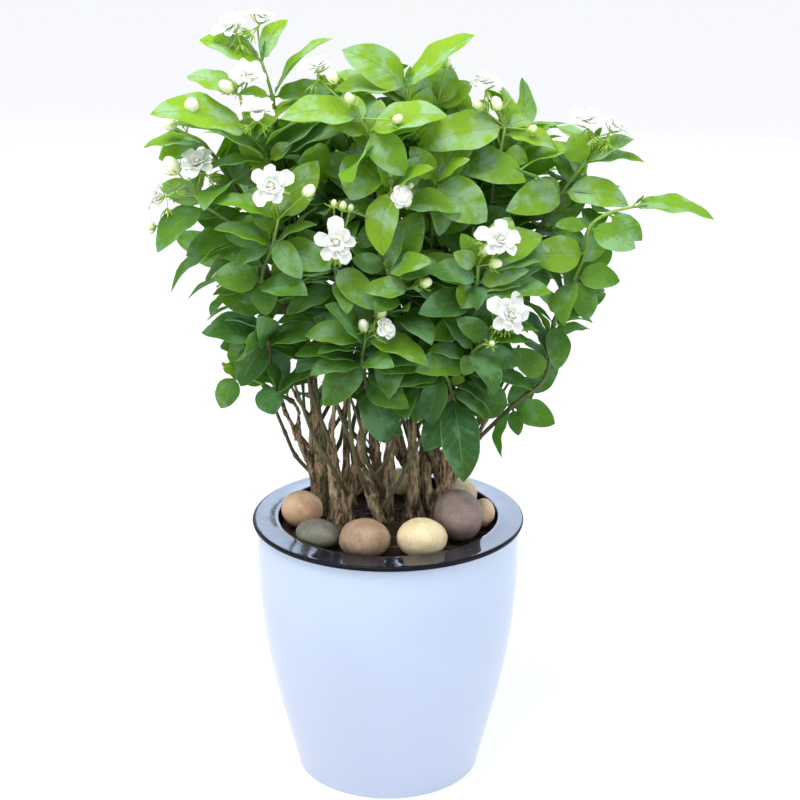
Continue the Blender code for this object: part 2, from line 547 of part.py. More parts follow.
def leaf_solid(leaf, grow=0.0):
    """A folded, arched blade with a short stalk, as corners and triangles split alike on
    both faces. grow thickens it for clearance tests."""
    chord = leaf["tip"] - leaf["base"]
    length = chord.length
    along = chord / length
    side = along.cross(leaf["normal"])
    stalk_share = PETIOLE / length
    corners = []

    def ring(share, half_width, half_thickness):
        arch = leaf["normal"] * (LEAF_ARCH * length * 4 * share * (1 - share))
        middle = leaf["base"] + chord * share + arch
        lift = leaf["normal"] * (half_width * LEAF_FOLD)
        thick = leaf["normal"] * (half_thickness + grow)
        wide = side * (half_width + grow)
        corners.extend((middle - wide + lift, middle + thick, middle + wide + lift, middle - thick))

    ring(0.0, LEAF_ROOT, LEAF_THICKNESS / 2)
    ring(stalk_share, LEAF_ROOT, LEAF_THICKNESS / 2)
    for station in BLADE_STATIONS:
        share = stalk_share + (1 - stalk_share) * station
        ring(share, leaf["width"] / 2 * leaf_outline(station), LEAF_THICKNESS / 2)
    corners.append(leaf["tip"] + along * grow)
    faces = [(0, 1, 2), (0, 2, 3)]
    for first in range(0, len(corners) - 5, 4):
        left, top, right, under = range(first, first + 4)
        for middle in (top, under):
            for edge in (left, right):
                turned_over = (edge == left) == (middle == under)
                one = (edge, middle, middle + 4)
                two = (edge, middle + 4, edge + 4)
                faces += [one[::-1], two[::-1]] if turned_over else [one, two]
    last = len(corners) - 5
    point = len(corners) - 1
    for one, two in ((0, 1), (1, 2), (2, 3), (3, 0)):
        faces.append((last + two, last + one, point))
    return corners, faces


def petal_solid(base, along, normal, length, half_width):
    """A flat blunt petal with a keel, as corners and triangles."""
    side = along.cross(normal)
    corners = []
    for share, wide in PETAL_SECTIONS:
        middle = base + along * (length * share) + normal * (length * 0.10 * share * share)
        reach = side * (half_width * wide)
        corners.extend((middle - reach, middle + reach, middle - normal * PETAL_THICKNESS))
    faces = [(0, 1, 2), (8, 7, 6)]
    for first in range(0, 3 * (len(PETAL_SECTIONS) - 1), 3):
        for one, two in ((0, 1), (1, 2), (2, 0)):
            a, b = first + one, first + two
            faces += [(a, a + 3, b), (b, a + 3, b + 3)]
    return corners, faces


def mesh_object(name, corners, faces, collection, finish=None):
    mesh = bpy.data.meshes.new(name)
    mesh.from_pydata([tuple(corner) for corner in corners], [], faces)
    shape = bmesh.new()
    shape.from_mesh(mesh)
    bmesh.ops.recalc_face_normals(shape, faces=shape.faces)
    shape.to_mesh(mesh)
    shape.free()
    return new_object(name, mesh, collection, finish)


def tube_object(name, points, radii, collection, resolution=STEM_RESOLUTION):
    """A tapered round stem along points, with closed ends, as a mesh."""
    curve = bpy.data.curves.new(name, "CURVE")
    curve.dimensions = "3D"
    curve.bevel_depth = 1.0
    curve.bevel_resolution = resolution
    curve.use_fill_caps = True
    spline = curve.splines.new("POLY")
    spline.points.add(len(points) - 1)
    for place, point, radius in zip(spline.points, points, radii):
        place.co = (*point, 1.0)
        place.radius = radius
    holder = new_object(name + "_path", curve, collection)
    mesh = evaluated_mesh(holder)
    shape = bmesh.new()
    shape.from_mesh(mesh)
    bmesh.ops.remove_doubles(shape, verts=shape.verts, dist=0.00001)
    bmesh.ops.recalc_face_normals(shape, faces=shape.faces)
    shape.to_mesh(mesh)
    shape.free()
    made = new_object(name, mesh, collection)
    made.matrix_world = holder.matrix_world.copy()
    bpy.data.objects.remove(holder, do_unlink=True)
    return made


def tube_shell(points, radii, grow=CLEARANCE):
    """The sides of a five-sided tube along points, for clearance tests."""
    corners = []
    faces = []
    sides = 5
    for i, point in enumerate(points):
        way = (points[min(i + 1, len(points) - 1)] - points[max(i - 1, 0)]).normalized()
        across = way.orthogonal().normalized()
        over = way.cross(across)
        for k in range(sides):
            angle = 2 * math.pi * k / sides
            ray = across * math.cos(angle) + over * math.sin(angle)
            corners.append(point + ray * (radii[i] * 1.1 + grow))
    for i in range(len(points) - 1):
        for k in range(sides):
            a, b = i * sides + k, i * sides + (k + 1) % sides
            faces.append((a, b, b + sides, a + sides))
    return corners, faces


def fuse(name, pieces, collection, finish, parts_collection):
    """One closed body: the first piece with all the others joined to it, and no loose scraps."""
    first = pieces[0]
    joined = first.modifiers.new("join", "BOOLEAN")
    joined.operation = "UNION"
    joined.operand_type = "COLLECTION"
    rest = new_collection(name + "_pieces")
    for piece in pieces[1:]:
        collection.objects.unlink(piece)
        rest.objects.link(piece)
    joined.collection = rest
    mesh = evaluated_mesh(first)
    tidy_body(mesh)
    remove_objects(list(rest.objects) + [first])
    bpy.data.collections.remove(rest)
    mesh.name = name
    return new_object(name, mesh, parts_collection, finish)


def tidy_body(mesh):
    """Deletes all but the largest connected piece, and the sealed hollows with them, then
    closes up the shortest edges that the joins left."""
    shape = bmesh.new()
    shape.from_mesh(mesh)
    bodies = connected_pieces(shape)
    main = max(bodies, key=len)
    spare = [vertex for body in bodies if body is not main for vertex in body]
    bmesh.ops.delete(shape, geom=spare, context="VERTS")
    bmesh.ops.triangulate(shape, faces=shape.faces)
    closed = True
    while closed:
        closed = close_short_edges(shape)
    shape.to_mesh(mesh)
    shape.free()


def connected_pieces(shape):
    unseen = set(shape.verts)
    bodies = []
    while unseen:
        stack = [unseen.pop()]
        body = set(stack)
        while stack:
            for edge in stack.pop().link_edges:
                for vertex in edge.verts:
                    if vertex in unseen:
                        unseen.remove(vertex)
                        body.add(vertex)
                        stack.append(vertex)
        bodies.append(body)
    return bodies


def close_short_edges(shape):
    """Merges the ends of short edges where the surface stays whole and no face turns over."""
    short = [edge for edge in shape.edges if edge.calc_length() < SHORTEST_EDGE]
    closed = 0
    for edge in sorted(short, key=lambda each: each.calc_length()):
        if not edge.is_valid or edge.calc_length() >= SHORTEST_EDGE:
            continue
        for kept, moved in (edge.verts, reversed(edge.verts)):
            if can_move(moved, kept):
                bmesh.ops.pointmerge(shape, verts=[kept, moved], merge_co=kept.co)
                closed += 1
                break
    return closed


def can_move(moved, kept):
    around_moved = {edge.other_vert(moved) for edge in moved.link_edges}
    around_kept = {edge.other_vert(kept) for edge in kept.link_edges}
    if len(around_moved & around_kept) != 2:
        return False
    for face in moved.link_faces:
        if kept in face.verts:
            continue
        before = face.normal if face.normal.length > 0.5 else None
        ends = [kept.co if vertex is moved else vertex.co for vertex in face.verts]
        after = (ends[1] - ends[0]).cross(ends[2] - ends[0])
        if before is None or after.length < 1e-9 or after.normalized().dot(before) < STEADIEST_TURN:
            return False
    return True


def bend_between(start, start_way, end, end_way, bulge):
    """Points on a smooth branch from start to end, pushed sideways by bulge in the middle."""
    reach = (end - start).length * 0.36
    controls = (start, start + start_way * reach + bulge, end - end_way * reach + bulge * 0.6, end)
    points = []
    for i in range(BRANCH_POINTS):
        t = i / (BRANCH_POINTS - 1)
        weights = ((1 - t) ** 3, 3 * t * (1 - t) ** 2, 3 * t * t * (1 - t), t ** 3)
        points.append(sum((c * w for c, w in zip(controls, weights)), Vector()))
    return points


def bulge_choices():
    yield Vector()
    for size in BULGES:
        for angle in range(0, 360, 45):
            way = Vector((math.cos(math.radians(angle)), math.sin(math.radians(angle)), 0.0))
            yield way * size * CM


def trunk_joint(branch):
    trunk, stem, joint = branch
    x, y, z, radius = TRUNKS[trunk][stem][joint]
    before = TRUNKS[trunk][stem][joint - 1]
    here = Vector((x, y, z)) * CM
    way = (here - Vector(before[:3]) * CM).normalized()
    return here, way, radius / 1000


def past_the_end(points):
    """The same points with the last one moved on a little, so that leaves there root inside."""
    way = (points[-1] - points[-2]).normalized()
    return list(points[:-1]) + [points[-1] + way * STEM_TIP]


class Spray:
    """One leafy stem: its joints, twigs, stalks, buds and leaves, before it is made solid."""

    def __init__(self, name, branch, stem, twigs=()):
        self.name = name
        self.branch = branch
        self.stem = stem
        self.twigs = twigs
        up_the_stem = (stem[1] - stem[0]).normalized() * FIRST_LEAF
        self.joints = [stem[0] + up_the_stem, *stem[1:]]
        self.joints += [point for twig in twigs for point in twig[1:]]
        self.stalks = []
        self.buds = []
        self.leaves = []

    def tubes(self):
        taper = STEM_RADII[1] - STEM_RADII[0]
        count = len(self.stem)
        radii = [STEM_RADII[0] + taper * i / (count - 1) for i in range(count)]
        yield past_the_end(self.stem), radii
        for twig in self.twigs:
            yield past_the_end(twig), [STEM_RADII[1]] * len(twig)
        for stalk in self.stalks:
            yield stalk, [STALK_RADIUS] * len(stalk)


def surveyed_spray(name, plan, slide):
    stem = [along_sight(x, z, y + slide) for x, z, y in plan["stem"]]
    twigs = []
    for first, *rest in plan.get("twigs", ()):
        twigs.append((stem[first], *(along_sight(x, z, y + slide) for x, z, y in rest)))
    return Spray(name, plan["branch"], stem, twigs)


def back_spray(name, plan, slide):
    """A branch that leans out at its compass angle, with two side twigs."""
    branch, angle, top, reach = plan
    out = Vector((math.cos(math.radians(angle)), math.sin(math.radians(angle)), 0.0))
    across = UP.cross(out)
    first = BACK_MIDDLE + (out * BACK_START[0] + UP * BACK_START[1]) * CM
    way = (out * (reach - BACK_START[0] + slide) + UP * (top - BACK_START[1])) * CM
    stem = []
    for i in range(BACK_JOINTS):
        share = i / (BACK_JOINTS - 1)
        sag = out * (math.sin(math.pi * share) * BACK_SAG * CM)
        stem.append(first + way * share + sag)
    twigs = []
    for joint, hand in BACK_TWIGS:
        start = stem[joint]
        sideways, upwards = BACK_TWIG_LEAN
        lean = (out + across * (sideways * hand) + UP * upwards).normalized()
        end = start + lean * BACK_TWIG * CM
        further = end + (lean + UP * 0.5).normalized() * (BACK_TWIG * BACK_TWIG_END * CM)
        twigs.append((start, end, further))
    return Spray(name, branch, stem, twigs)


def grow_stems(thicket):
    """Every leafy stem and the woody branch that carries it, clear of all the others."""
    sprays = {}
    branches = {name: [] for name in TRUNKS}
    for trunk, stems in TRUNKS.items():
        for stem in stems:
            points = [Vector(joint[:3]) * CM for joint in stem]
            thicket.add(trunk, *tube_shell(points, [joint[3] / 1000 for joint in stem]))
    plans = [(surveyed_spray, name, plan) for name, plan in SPRAYS.items()]
    plans += [(back_spray, name, plan) for name, plan in BACK_SPRAYS.items()]
    for make, name, plan in plans:
        spray, branch = first_clear_stem(make, name, plan, thicket)
        sprays[name] = spray
        branches[spray.branch[0]].append(branch)
        for points, radii in spray.tubes():
            thicket.add(name, *tube_shell(points, radii))
        thicket.add(spray.branch[0], *tube_shell(*branch))
    return sprays, branches


def first_clear_stem(make, name, plan, thicket):
    for slide in STEM_SLIDES:
        spray = make(name, plan, slide)
        shells = [tube_shell(points, radii) for points, radii in spray.tubes()]
        if not all(thicket.clear(*shell) for shell in shells):
            continue
        fork, way, fork_radius = trunk_joint(spray.branch)
        way_in = (spray.stem[1] - spray.stem[0]).normalized()
        end = spray.stem[0] - way_in * JOINT_GAP
        for bulge in bulge_choices():
            points = bend_between(fork, way, end - way_in * STRAIGHT_END, way_in, bulge)
            points.append(end)
            wide = min(fork_radius * 0.8, WOOD_FORK_RADIUS)
            taper = WOOD_TIP_RADIUS - wide
            radii = [wide + taper * i / (len(points) - 1) for i in range(len(points))]
            if thicket.clear(*tube_shell(points, radii), skip=(spray.branch[0],)):
                return spray, (points, radii)
    raise ValueError(name + " finds no way through the other stems")


def grow_blooms(sprays, thicket):
    """Where each open flower sits and faces, with its stalk added to its leafy stem."""
    blooms = {}
    for name, (owner, joint, x, z, forward, way, radius) in BLOOMS.items():
        spray = sprays[owner]
        start = spray.joints[joint]
        facing = Vector(way).normalized()
        centre = along_sight(x, z, start.y / CM - forward)
        foot = centre - facing * BLOOM_TUBE
        stalk_end = foot - facing * GAP
        bend = stalk_end - facing * min(STALK_STRAIGHT, (stalk_end - start).length * 0.4)
        spray.stalks.append([start, bend, stalk_end])
        blooms[name] = dict(foot=foot, facing=facing, radius=radius * CM)
        disc = bloom_disc(centre, facing, radius * CM)
        thicket.add(name, *disc)
        thicket.add(owner, *tube_shell(spray.stalks[-1], [STALK_RADIUS] * 3))
    return blooms


def bloom_disc(centre, facing, radius):
    """A shallow double cone that an open flower fills, for clearance tests."""
    across = facing.orthogonal().normalized()
    over = facing.cross(across)
    corners = [centre - facing * BLOOM_TUBE * 1.1, centre + facing * radius * 0.85]
    sides = 10
    for k in range(sides):
        angle = 2 * math.pi * k / sides
        rim = across * math.cos(angle) + over * math.sin(angle)
        corners.append(centre + rim * radius * 1.08 + facing * radius * 0.2)
    faces = []
    for k in range(sides):
        one, two = 2 + k, 2 + (k + 1) % sides
        faces += [(0, two, one), (1, one, two)]
    return corners, faces


def grow_buds(sprays, thicket):
    for name, plan in SPRAYS.items():
        spray = sprays[name]
        for joint, x, z, forward, diameter in plan["buds"]:
            start = spray.joints[joint]
            centre = along_sight(x, z, start.y / CM - forward)
            radius = diameter * CM / 2
            way = (centre - start).normalized()
            if way.z < 0.2:
                way = (way + UP * 0.6).normalized()
            foot = centre - way * radius * 0.9
            spray.stalks.append([start, foot + way * radius * 0.5])
            spray.buds.append(dict(centre=centre, way=way, radius=radius))
            thicket.add(name, *tube_shell(spray.stalks[-1], [STALK_RADIUS] * 2))
            thicket.add(name, *tube_shell([foot, centre + way * radius * 1.1], [radius, radius * 0.8]))


def place_leaf(spray, base, tip, seen, thicket, turns):
    """Adds the first variant of a leaf that crosses nothing; says whether there is one."""
    for slide, roll, shrink in turns:
        there = Vector(tip)
        sight = (there - SURVEY_EYE).normalized()
        there += sight * (slide * CM)
        there = base + (there - base) * shrink
        length = (there - base).length
        width = max(length * LEAF_WIDTH_RATIO, seen * shrink * SEEN_MARGIN)
        if seen:
            normal = blade_normal(base, there, min(seen * shrink / width, MOST_FACE_ON))
        else:
            normal = outward_normal(base, there)
        normal = Matrix.Rotation(math.radians(roll), 3, (there - base).normalized()) @ normal
        leaf = dict(base=base, tip=there, normal=normal, width=width)
        blade = leaf_solid(leaf, grow=CLEARANCE)
        if leaf_is_clear(spray, leaf, blade, thicket):
            spray.leaves.append(leaf)
            thicket.add(spray.name + "_leaf", *leaf_solid(leaf))
            return True
    return False


def leaf_is_clear(spray, leaf, blade, thicket):
    """A leaf may touch only the stem that it grows from, and that only at its foot."""
    if not thicket.clear(*blade, skip=(spray.name, spray.name + "_leaf")):
        return False
    shortened = dict(leaf)
    shortened["base"] = leaf["base"].lerp(leaf["tip"], LEAF_ROOT_SHARE)
    own = leaf_solid(shortened, grow=CLEARANCE)
    others = [owner for owner, *_ in thicket.grown if owner not in (spray.name, spray.name + "_leaf")]
    return thicket.clear(*own, skip=set(others))


def outward_normal(base, tip):
    """The upper side of a leaf that nobody surveyed: up and away from the crown's middle."""
    chord = (tip - base).normalized()
    away = (tip - CROWN_CENTRE)
    away.z = 0.0
    lean = UP + away.normalized() * LEAF_LEAN_OUT
    return (lean - chord * lean.dot(chord)).normalized()


SURVEYED_TURNS = [
    (slide, roll, shrink)
    for shrink in (1.0, 0.9, 0.78)
    for slide in (0.0, 0.6, -0.6, 1.3, -1.3, 2.2, -2.2, -3.4, -4.6)
    for roll in (0, 14, -14, 30, -30)
]
FREE_TURNS = [(0.0, roll, shrink) for shrink in (1.0, 0.85) for roll in (0, 20, -20, 45, -45)]


def grow_surveyed_leaves(sprays, thicket):
    lost = []
    for name, plan in SPRAYS.items():
        spray = sprays[name]
        for joint, x, z, forward, seen in plan["leaves"]:
            base = spray.joints[joint]
            tip = along_sight(x, z, base.y / CM - forward)
            if not place_leaf(spray, base, tip, seen * CM, thicket, SURVEYED_TURNS):
                lost.append((name, joint, x, z))
    return lost


def grow_back_leaves(sprays, thicket, draw):
    """Opposite pairs at every joint, each pair turned a quarter from the last, and a leaf at
    each tip."""
    for name in BACK_SPRAYS:
        spray = sprays[name]
        for line in [spray.stem] + list(spray.twigs):
            for i in range(1, len(line)):
                along = (line[i] - line[i - 1]).normalized()
                side = along.cross(UP).normalized()
                over = side.cross(along)
                quarter = i % 2
                last = i == len(line) - 1
                for hand in (1, -1):
                    out = side * hand if quarter else over * hand
                    outward = (line[i] - CROWN_CENTRE).normalized()
                    ways = zip((out, along, outward, UP), BACK_LEAF_LEAN)
                    way = sum((each * share for each, share in ways), Vector()).normalized()
                    length = draw.uniform(*BACK_LEAF_LENGTHS) * CM
                    place_leaf(spray, line[i], line[i] + way * length, 0.0, thicket, FREE_TURNS)
                if last:
                    length = draw.uniform(*BACK_LEAF_LENGTHS) * CM
                    place_leaf(spray, line[i], line[i] + along * length, 0.0, thicket, FREE_TURNS)


def grow_inner_leaves(sprays, thicket, draw):
    """The shaded leaves low on each surveyed stem, wherever one fits."""
    for name in SPRAYS:
        spray = sprays[name]
        for joint in range(INNER_JOINTS):
            base = spray.joints[joint]
            along = (spray.stem[min(joint + 1, len(spray.stem) - 1)] - spray.stem[0]).normalized()
            side = along.orthogonal().normalized()
            start = draw.uniform(0.0, 360.0)
            for turn in (0, 180):
                spin = Matrix.Rotation(math.radians(start + turn), 3, along)
                way = (spin @ side + along * 0.3).normalized()
                tip = base + way * draw.uniform(*BACK_LEAF_LENGTHS) * CM
                if tip.z > INNER_LOWEST_TIP:
                    place_leaf(spray, base, tip, 0.0, thicket, FREE_TURNS)


def grow_plant():
    """The whole shrub's layout. The same call gives the same plant."""
    draw = random.Random(SEED)
    thicket = Thicket()
    for name, corners, faces in settled_stones():
        thicket.add(name, corners, faces)
    sprays, branches = grow_stems(thicket)
    blooms = grow_blooms(sprays, thicket)
    grow_buds(sprays, thicket)
    lost = grow_surveyed_leaves(sprays, thicket)
    grow_back_leaves(sprays, thicket, draw)
    grow_inner_leaves(sprays, thicket, draw)
    return sprays, branches, blooms, lost


def stone_shape(name):
    """A river stone's corners and faces about its own centre, a little uneven."""
    _, _, _, long, broad, high, turn = next(stone for stone in STONES if stone[0] == name)
    draw = random.Random(name)
    spin = Matrix.Rotation(math.radians(turn), 3, "Z")
    lean = Vector((draw.uniform(-1, 1), draw.uniform(-1, 1), 0.0)) * STONE_UNEVEN
    shape = bmesh.new()
    bmesh.ops.create_icosphere(shape, subdivisions=2, radius=1.0)
    for vertex in shape.verts:
        point = vertex.co
        swell = 1.0 + point.dot(lean)
        sized = Vector((point.x * long, point.y * broad, point.z * high)) * (swell * CM)
        vertex.co = spin @ sized
    corners = [vertex.co.copy() for vertex in shape.verts]
    faces = [tuple(vertex.index for vertex in face.verts) for face in shape.faces]
    shape.free()
    return corners, faces


def soil_rings():
    """The top of the soil as a surface, for the stones to settle on."""
    corners = [Vector((0.0, 0.0, SOIL_MOUND_TOP))]
    rings = (
        (SOIL_MOUND_RADIUS, SOIL_MOUND_TOP),
        (SOIL_MOUND_FOOT, SOIL_RING_TOP),
        (RIM_RADIUS, SOIL_RING_TOP),
    )
    for radius, height in rings:
        for k in range(TURNED_SIDES):
            angle = 2 * math.pi * k / TURNED_SIDES
            corners.append(Vector((radius * math.cos(angle), radius * math.sin(angle), height)))
    faces = []
    for k in range(TURNED_SIDES):
        after = (k + 1) % TURNED_SIDES
        faces.append((0, 1 + k, 1 + after))
        for ring in range(len(rings) - 1):
            a, b = 1 + ring * TURNED_SIDES + k, 1 + ring * TURNED_SIDES + after
            faces += [(a, a + TURNED_SIDES, b + TURNED_SIDES), (a, b + TURNED_SIDES, b)]
    return corners, faces


def rim_wall():
    """The inner edge of the rim, for the stones to lean on."""
    corners = []
    radius = RIM_WALL_RADIUS
    for height in (INNER_POT_FLOOR, RIM_TOP):
        for k in range(TURNED_SIDES):
            angle = 2 * math.pi * k / TURNED_SIDES
            corners.append(Vector((radius * math.cos(angle), radius * math.sin(angle), height)))
    faces = []
    for k in range(TURNED_SIDES):
        after = (k + 1) % TURNED_SIDES
        faces.append((k, after, after + TURNED_SIDES, k + TURNED_SIDES))
    return corners, faces


def settled_stones():
    """Each stone, lifted off the soil in small steps until it touches nothing."""
    ground = Thicket()
    ground.add("soil", *soil_rings())
    ground.add("rim", *rim_wall())
    for name, stems in TRUNKS.items():
        for stem in stems:
            points = [Vector(joint[:3]) * CM for joint in stem]
            ground.add(name, *tube_shell(points, [joint[3] / 1000 for joint in stem]))
    settled = []
    for name, x, y, _, _, high, _ in STONES:
        corners, faces = stone_shape(name)
        height = SOIL_RING_TOP + high * CM * STONE_START
        for _ in range(200):
            placed = [corner + Vector((x * CM, y * CM, height)) for corner in corners]
            if ground.clear(placed, faces):
                break
            height += STONE_STEP
        height += GAP
        placed = [corner + Vector((x * CM, y * CM, height)) for corner in corners]
        ground.add(name, placed, faces)
        settled.append((name, placed, faces))
    return settled


def make_stones(collection):
    finishes = {kind: material("stone " + kind, colour, 0.75) for kind, colour in STONE_COLOURS.items()}
    for name, corners, faces in settled_stones():
        mesh_object(name, corners, faces, collection, finishes[name.split("_")[1]])


def make_trunks(branches, workshop, collection, finish):
    for name, stems in TRUNKS.items():
        pieces = []
        for stem in stems:
            points = [Vector(joint[:3]) * CM for joint in stem]
            radii = [joint[3] / 1000 for joint in stem]
            pieces.append(tube_object(name + "_stem", points, radii, workshop, TRUNK_RESOLUTION))
        for points, radii in branches[name]:
            pieces.append(tube_object(name + "_branch", points, radii, workshop, TRUNK_RESOLUTION))
        fuse(name, pieces, workshop, finish, collection)


def bud_object(bud, workshop):
    shape = bmesh.new()
    bmesh.ops.create_icosphere(shape, subdivisions=1, radius=1.0)
    turn = UP.rotation_difference(bud["way"]).to_matrix()
    for vertex in shape.verts:
        point = Vector((vertex.co.x, vertex.co.y, vertex.co.z * 1.25)) * bud["radius"]
        vertex.co = bud["centre"] + turn @ point
    mesh = bpy.data.meshes.new("bud")
    shape.to_mesh(mesh)
    shape.free()
    return new_object("bud", mesh, workshop)


def make_sprays(sprays, workshop, collection, finish):
    for name, spray in sprays.items():
        pieces = []
        for points, radii in spray.tubes():
            pieces.append(tube_object("stem", points, radii, workshop))
        for leaf in spray.leaves:
            pieces.append(mesh_object("leaf", *leaf_solid(leaf), workshop))
        for bud in spray.buds:
            pieces.append(bud_object(bud, workshop))
        fuse(name, pieces, workshop, finish, collection)


def make_blooms(blooms, workshop, collection, finish):
    for name, bloom in blooms.items():
        facing = bloom["facing"]
        across = facing.orthogonal().normalized()
        over = facing.cross(across)
        foot = bloom["foot"]
        top = foot + facing * BLOOM_TUBE
        pieces = [tube_object("tube", [foot, top], BLOOM_TUBE_RADII, workshop)]
        for count, size, rise, half_width, shift, height, offset in PETAL_ROWS:
            for k in range(count):
                angle = 2 * math.pi * (k + shift) / count
                out = across * math.cos(angle) + over * math.sin(angle)
                lift = math.radians(rise)
                along = out * math.cos(lift) + facing * math.sin(lift)
                normal = facing * math.cos(lift) - out * math.sin(lift)
                normal = Matrix.Rotation(math.radians(PETAL_TWIST), 3, along) @ normal
                length = bloom["radius"] * size
                root = top + (facing * height + out * offset) / 1000
                petal = petal_solid(root, along, normal, length, length * half_width)
                pieces.append(mesh_object("petal", *petal, workshop))
        fuse(name, pieces, workshop, finish, collection)


def main():
    remove_objects(bpy.data.objects)
    plant = new_collection("potted_jasmine")
    cutters = new_collection("cutters")
    workshop = new_collection("workshop")
    make_pot(plant, material("white glaze", (0.80, 0.86, 0.96), 0.18))
    make_inner_pot(plant, material("black plastic", (0.015, 0.018, 0.03), 0.20))
    make_soil(plant, cutters, material("soil", (0.06, 0.035, 0.02), 0.95))
    make_stones(plant)
    sprays, branches, blooms, lost = grow_plant()
    make_trunks(branches, workshop, plant, material("bark", BARK, 0.85))
    make_sprays(sprays, workshop, plant, material("leaf green", GREEN, 0.45))
    make_blooms(blooms, workshop, plant, material("petal white", WHITE, 0.55))
    for each in plant.objects:
        each.data.shade_smooth()
        each.data.set_sharp_from_angle(angle=math.radians(35))
    print(sum(len(spray.leaves) for spray in sprays.values()), "leaves, left out:", lost)


main()
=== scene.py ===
# %% [markdown]
# # A potted double jasmine
#
# The plant is a bushy jasmine in a tall white pot. A black inner pot hangs in it by a broad
# rim, and rounded stones lie on the soil round the foot of the shrub. The imported model gives
# every piece its place and its size. This lesson dresses it: leaves with ribs and veins,
# layered flowers, flaking bark, worn stones, glossy pots.
#
# The imported model is the fixed frame, so it is loaded first and never moved.

# %% Load the imported model
from math import atan2, cos, exp, pi, radians, sin, sqrt
from random import Random

import bmesh
import bpy
from mathutils import Matrix, Vector, noise
from mathutils.bvhtree import BVHTree
from mathutils.kdtree import KDTree


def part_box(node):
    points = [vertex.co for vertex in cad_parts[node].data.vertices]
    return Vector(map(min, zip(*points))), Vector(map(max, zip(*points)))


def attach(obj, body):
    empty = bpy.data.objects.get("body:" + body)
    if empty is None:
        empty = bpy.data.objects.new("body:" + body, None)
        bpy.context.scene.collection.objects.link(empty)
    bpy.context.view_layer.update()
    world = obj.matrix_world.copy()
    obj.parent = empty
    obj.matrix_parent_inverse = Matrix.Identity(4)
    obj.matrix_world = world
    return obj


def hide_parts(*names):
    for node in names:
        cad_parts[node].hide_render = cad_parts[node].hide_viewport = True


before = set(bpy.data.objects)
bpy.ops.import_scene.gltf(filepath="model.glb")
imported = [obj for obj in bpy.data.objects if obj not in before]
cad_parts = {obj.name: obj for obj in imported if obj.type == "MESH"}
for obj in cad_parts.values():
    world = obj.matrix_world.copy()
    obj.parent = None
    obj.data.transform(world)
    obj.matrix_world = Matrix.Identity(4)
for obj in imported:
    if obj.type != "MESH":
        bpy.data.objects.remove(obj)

CM = 0.01
MM = 0.001
UP = Vector((0.0, 0.0, 1.0))
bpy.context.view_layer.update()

# %% [markdown]
# ## Camera, floor and light
#
# The photograph was taken from a little above the leaves with a long lens. A camera 1.6 m away
# and 0.9 m up, tilted down 18 degrees, gives the same view of the rim's ellipse. A small
# sideways shift keeps the pot where it stands in the photograph without turning the camera.
#
# The photograph has a white ground and soft daylight from above. A pale world fills the
# shadows, one broad lamp stands for the sky overhead, and a low one on each side brightens the
# pot. A wide lamp low behind the plant is the pale sky that the black rim mirrors, and it
# shines through the leaves at the top. The floor is plain and pale.

# %% Camera
CAMERA_PLACE = (0.0, -1.6, 0.8999)
CAMERA_TILT = 18.187
CAMERA_LENS = 80.465
CAMERA_SHIFT = 0.015

scene = bpy.context.scene


def shown(name, data):
    """A new object in the scene."""
    thing = bpy.data.objects.new(name, data)
    scene.collection.objects.link(thing)
    return thing


camera_data = bpy.data.cameras.new("camera")
camera_data.lens = CAMERA_LENS
camera_data.sensor_width = 36.0
camera_data.shift_x = CAMERA_SHIFT
camera = shown("camera", camera_data)
camera.location = CAMERA_PLACE
camera.rotation_euler = (radians(90.0 - CAMERA_TILT), 0.0, 0.0)
scene.camera = camera
scene.view_settings.view_transform = "Standard"
print("camera looks down", CAMERA_TILT, "degrees")

# %% [markdown]
# ## Sums on sockets
#
# Both a material and a Geometry Nodes tree are graphs of nodes. A formula is hard to read as
# a row of Math nodes, so Wire wraps one output and lets Python's operators add the nodes. A
# vector goes through Vector Math, and a plain number through Math. Graph.node makes any other
# node from its type, its settings and the values or wires of its inputs.

# %% Wires and graphs
class Wire:
    """One node's output, which the usual operators can calculate with."""

    def __init__(self, graph, socket):
        self.graph = graph
        self.socket = socket

    def sum_of(self, operation, one, two):
        vectors = [is_vector(side) for side in (one, two)]
        if not any(vectors):
            return self.graph.node("ShaderNodeMath", dict(operation=operation), {0: one, 1: two})
        if operation == "MULTIPLY" and not all(vectors):
            vector, number = (one, two) if vectors[0] else (two, one)
            return self.graph.vector("SCALE", vector, Scale=number)
        return self.graph.vector(operation, one, two)

    def __add__(self, other):
        return self.sum_of("ADD", self, other)

    def __radd__(self, other):
        return self.sum_of("ADD", other, self)

    def __sub__(self, other):
        return self.sum_of("SUBTRACT", self, other)

    def __rsub__(self, other):
        return self.sum_of("SUBTRACT", other, self)

    def __mul__(self, other):
        return self.sum_of("MULTIPLY", self, other)

    def __rmul__(self, other):
        return self.sum_of("MULTIPLY", other, self)

    def __truediv__(self, other):
        return self.sum_of("DIVIDE", self, other)

    def __rtruediv__(self, other):
        return self.sum_of("DIVIDE", other, self)

    def __pow__(self, other):
        return self.sum_of("POWER", self, other)

    def __abs__(self):
        return self.graph.node("ShaderNodeMath", dict(operation="ABSOLUTE"), {0: self})

    def maths(self, operation, other=0.0):
        return self.sum_of(operation, self, other)

    def part(self, axis):
        return self.graph.node("ShaderNodeSeparateXYZ", {}, {0: self}, axis)

    def spread(self, low, high, to_low=0.0, to_high=1.0):
        """The same value stretched from low..high to to_low..to_high and held there."""
        inputs = {"Value": self, "From Min": low, "From Max": high, "To Min": to_low, "To Max": to_high}
        return self.graph.node("ShaderNodeMapRange", dict(interpolation_type="SMOOTHSTEP"), inputs)


def is_vector(side):
    if isinstance(side, Wire):
        return side.socket.type == "VECTOR"
    return isinstance(side, (tuple, Vector))


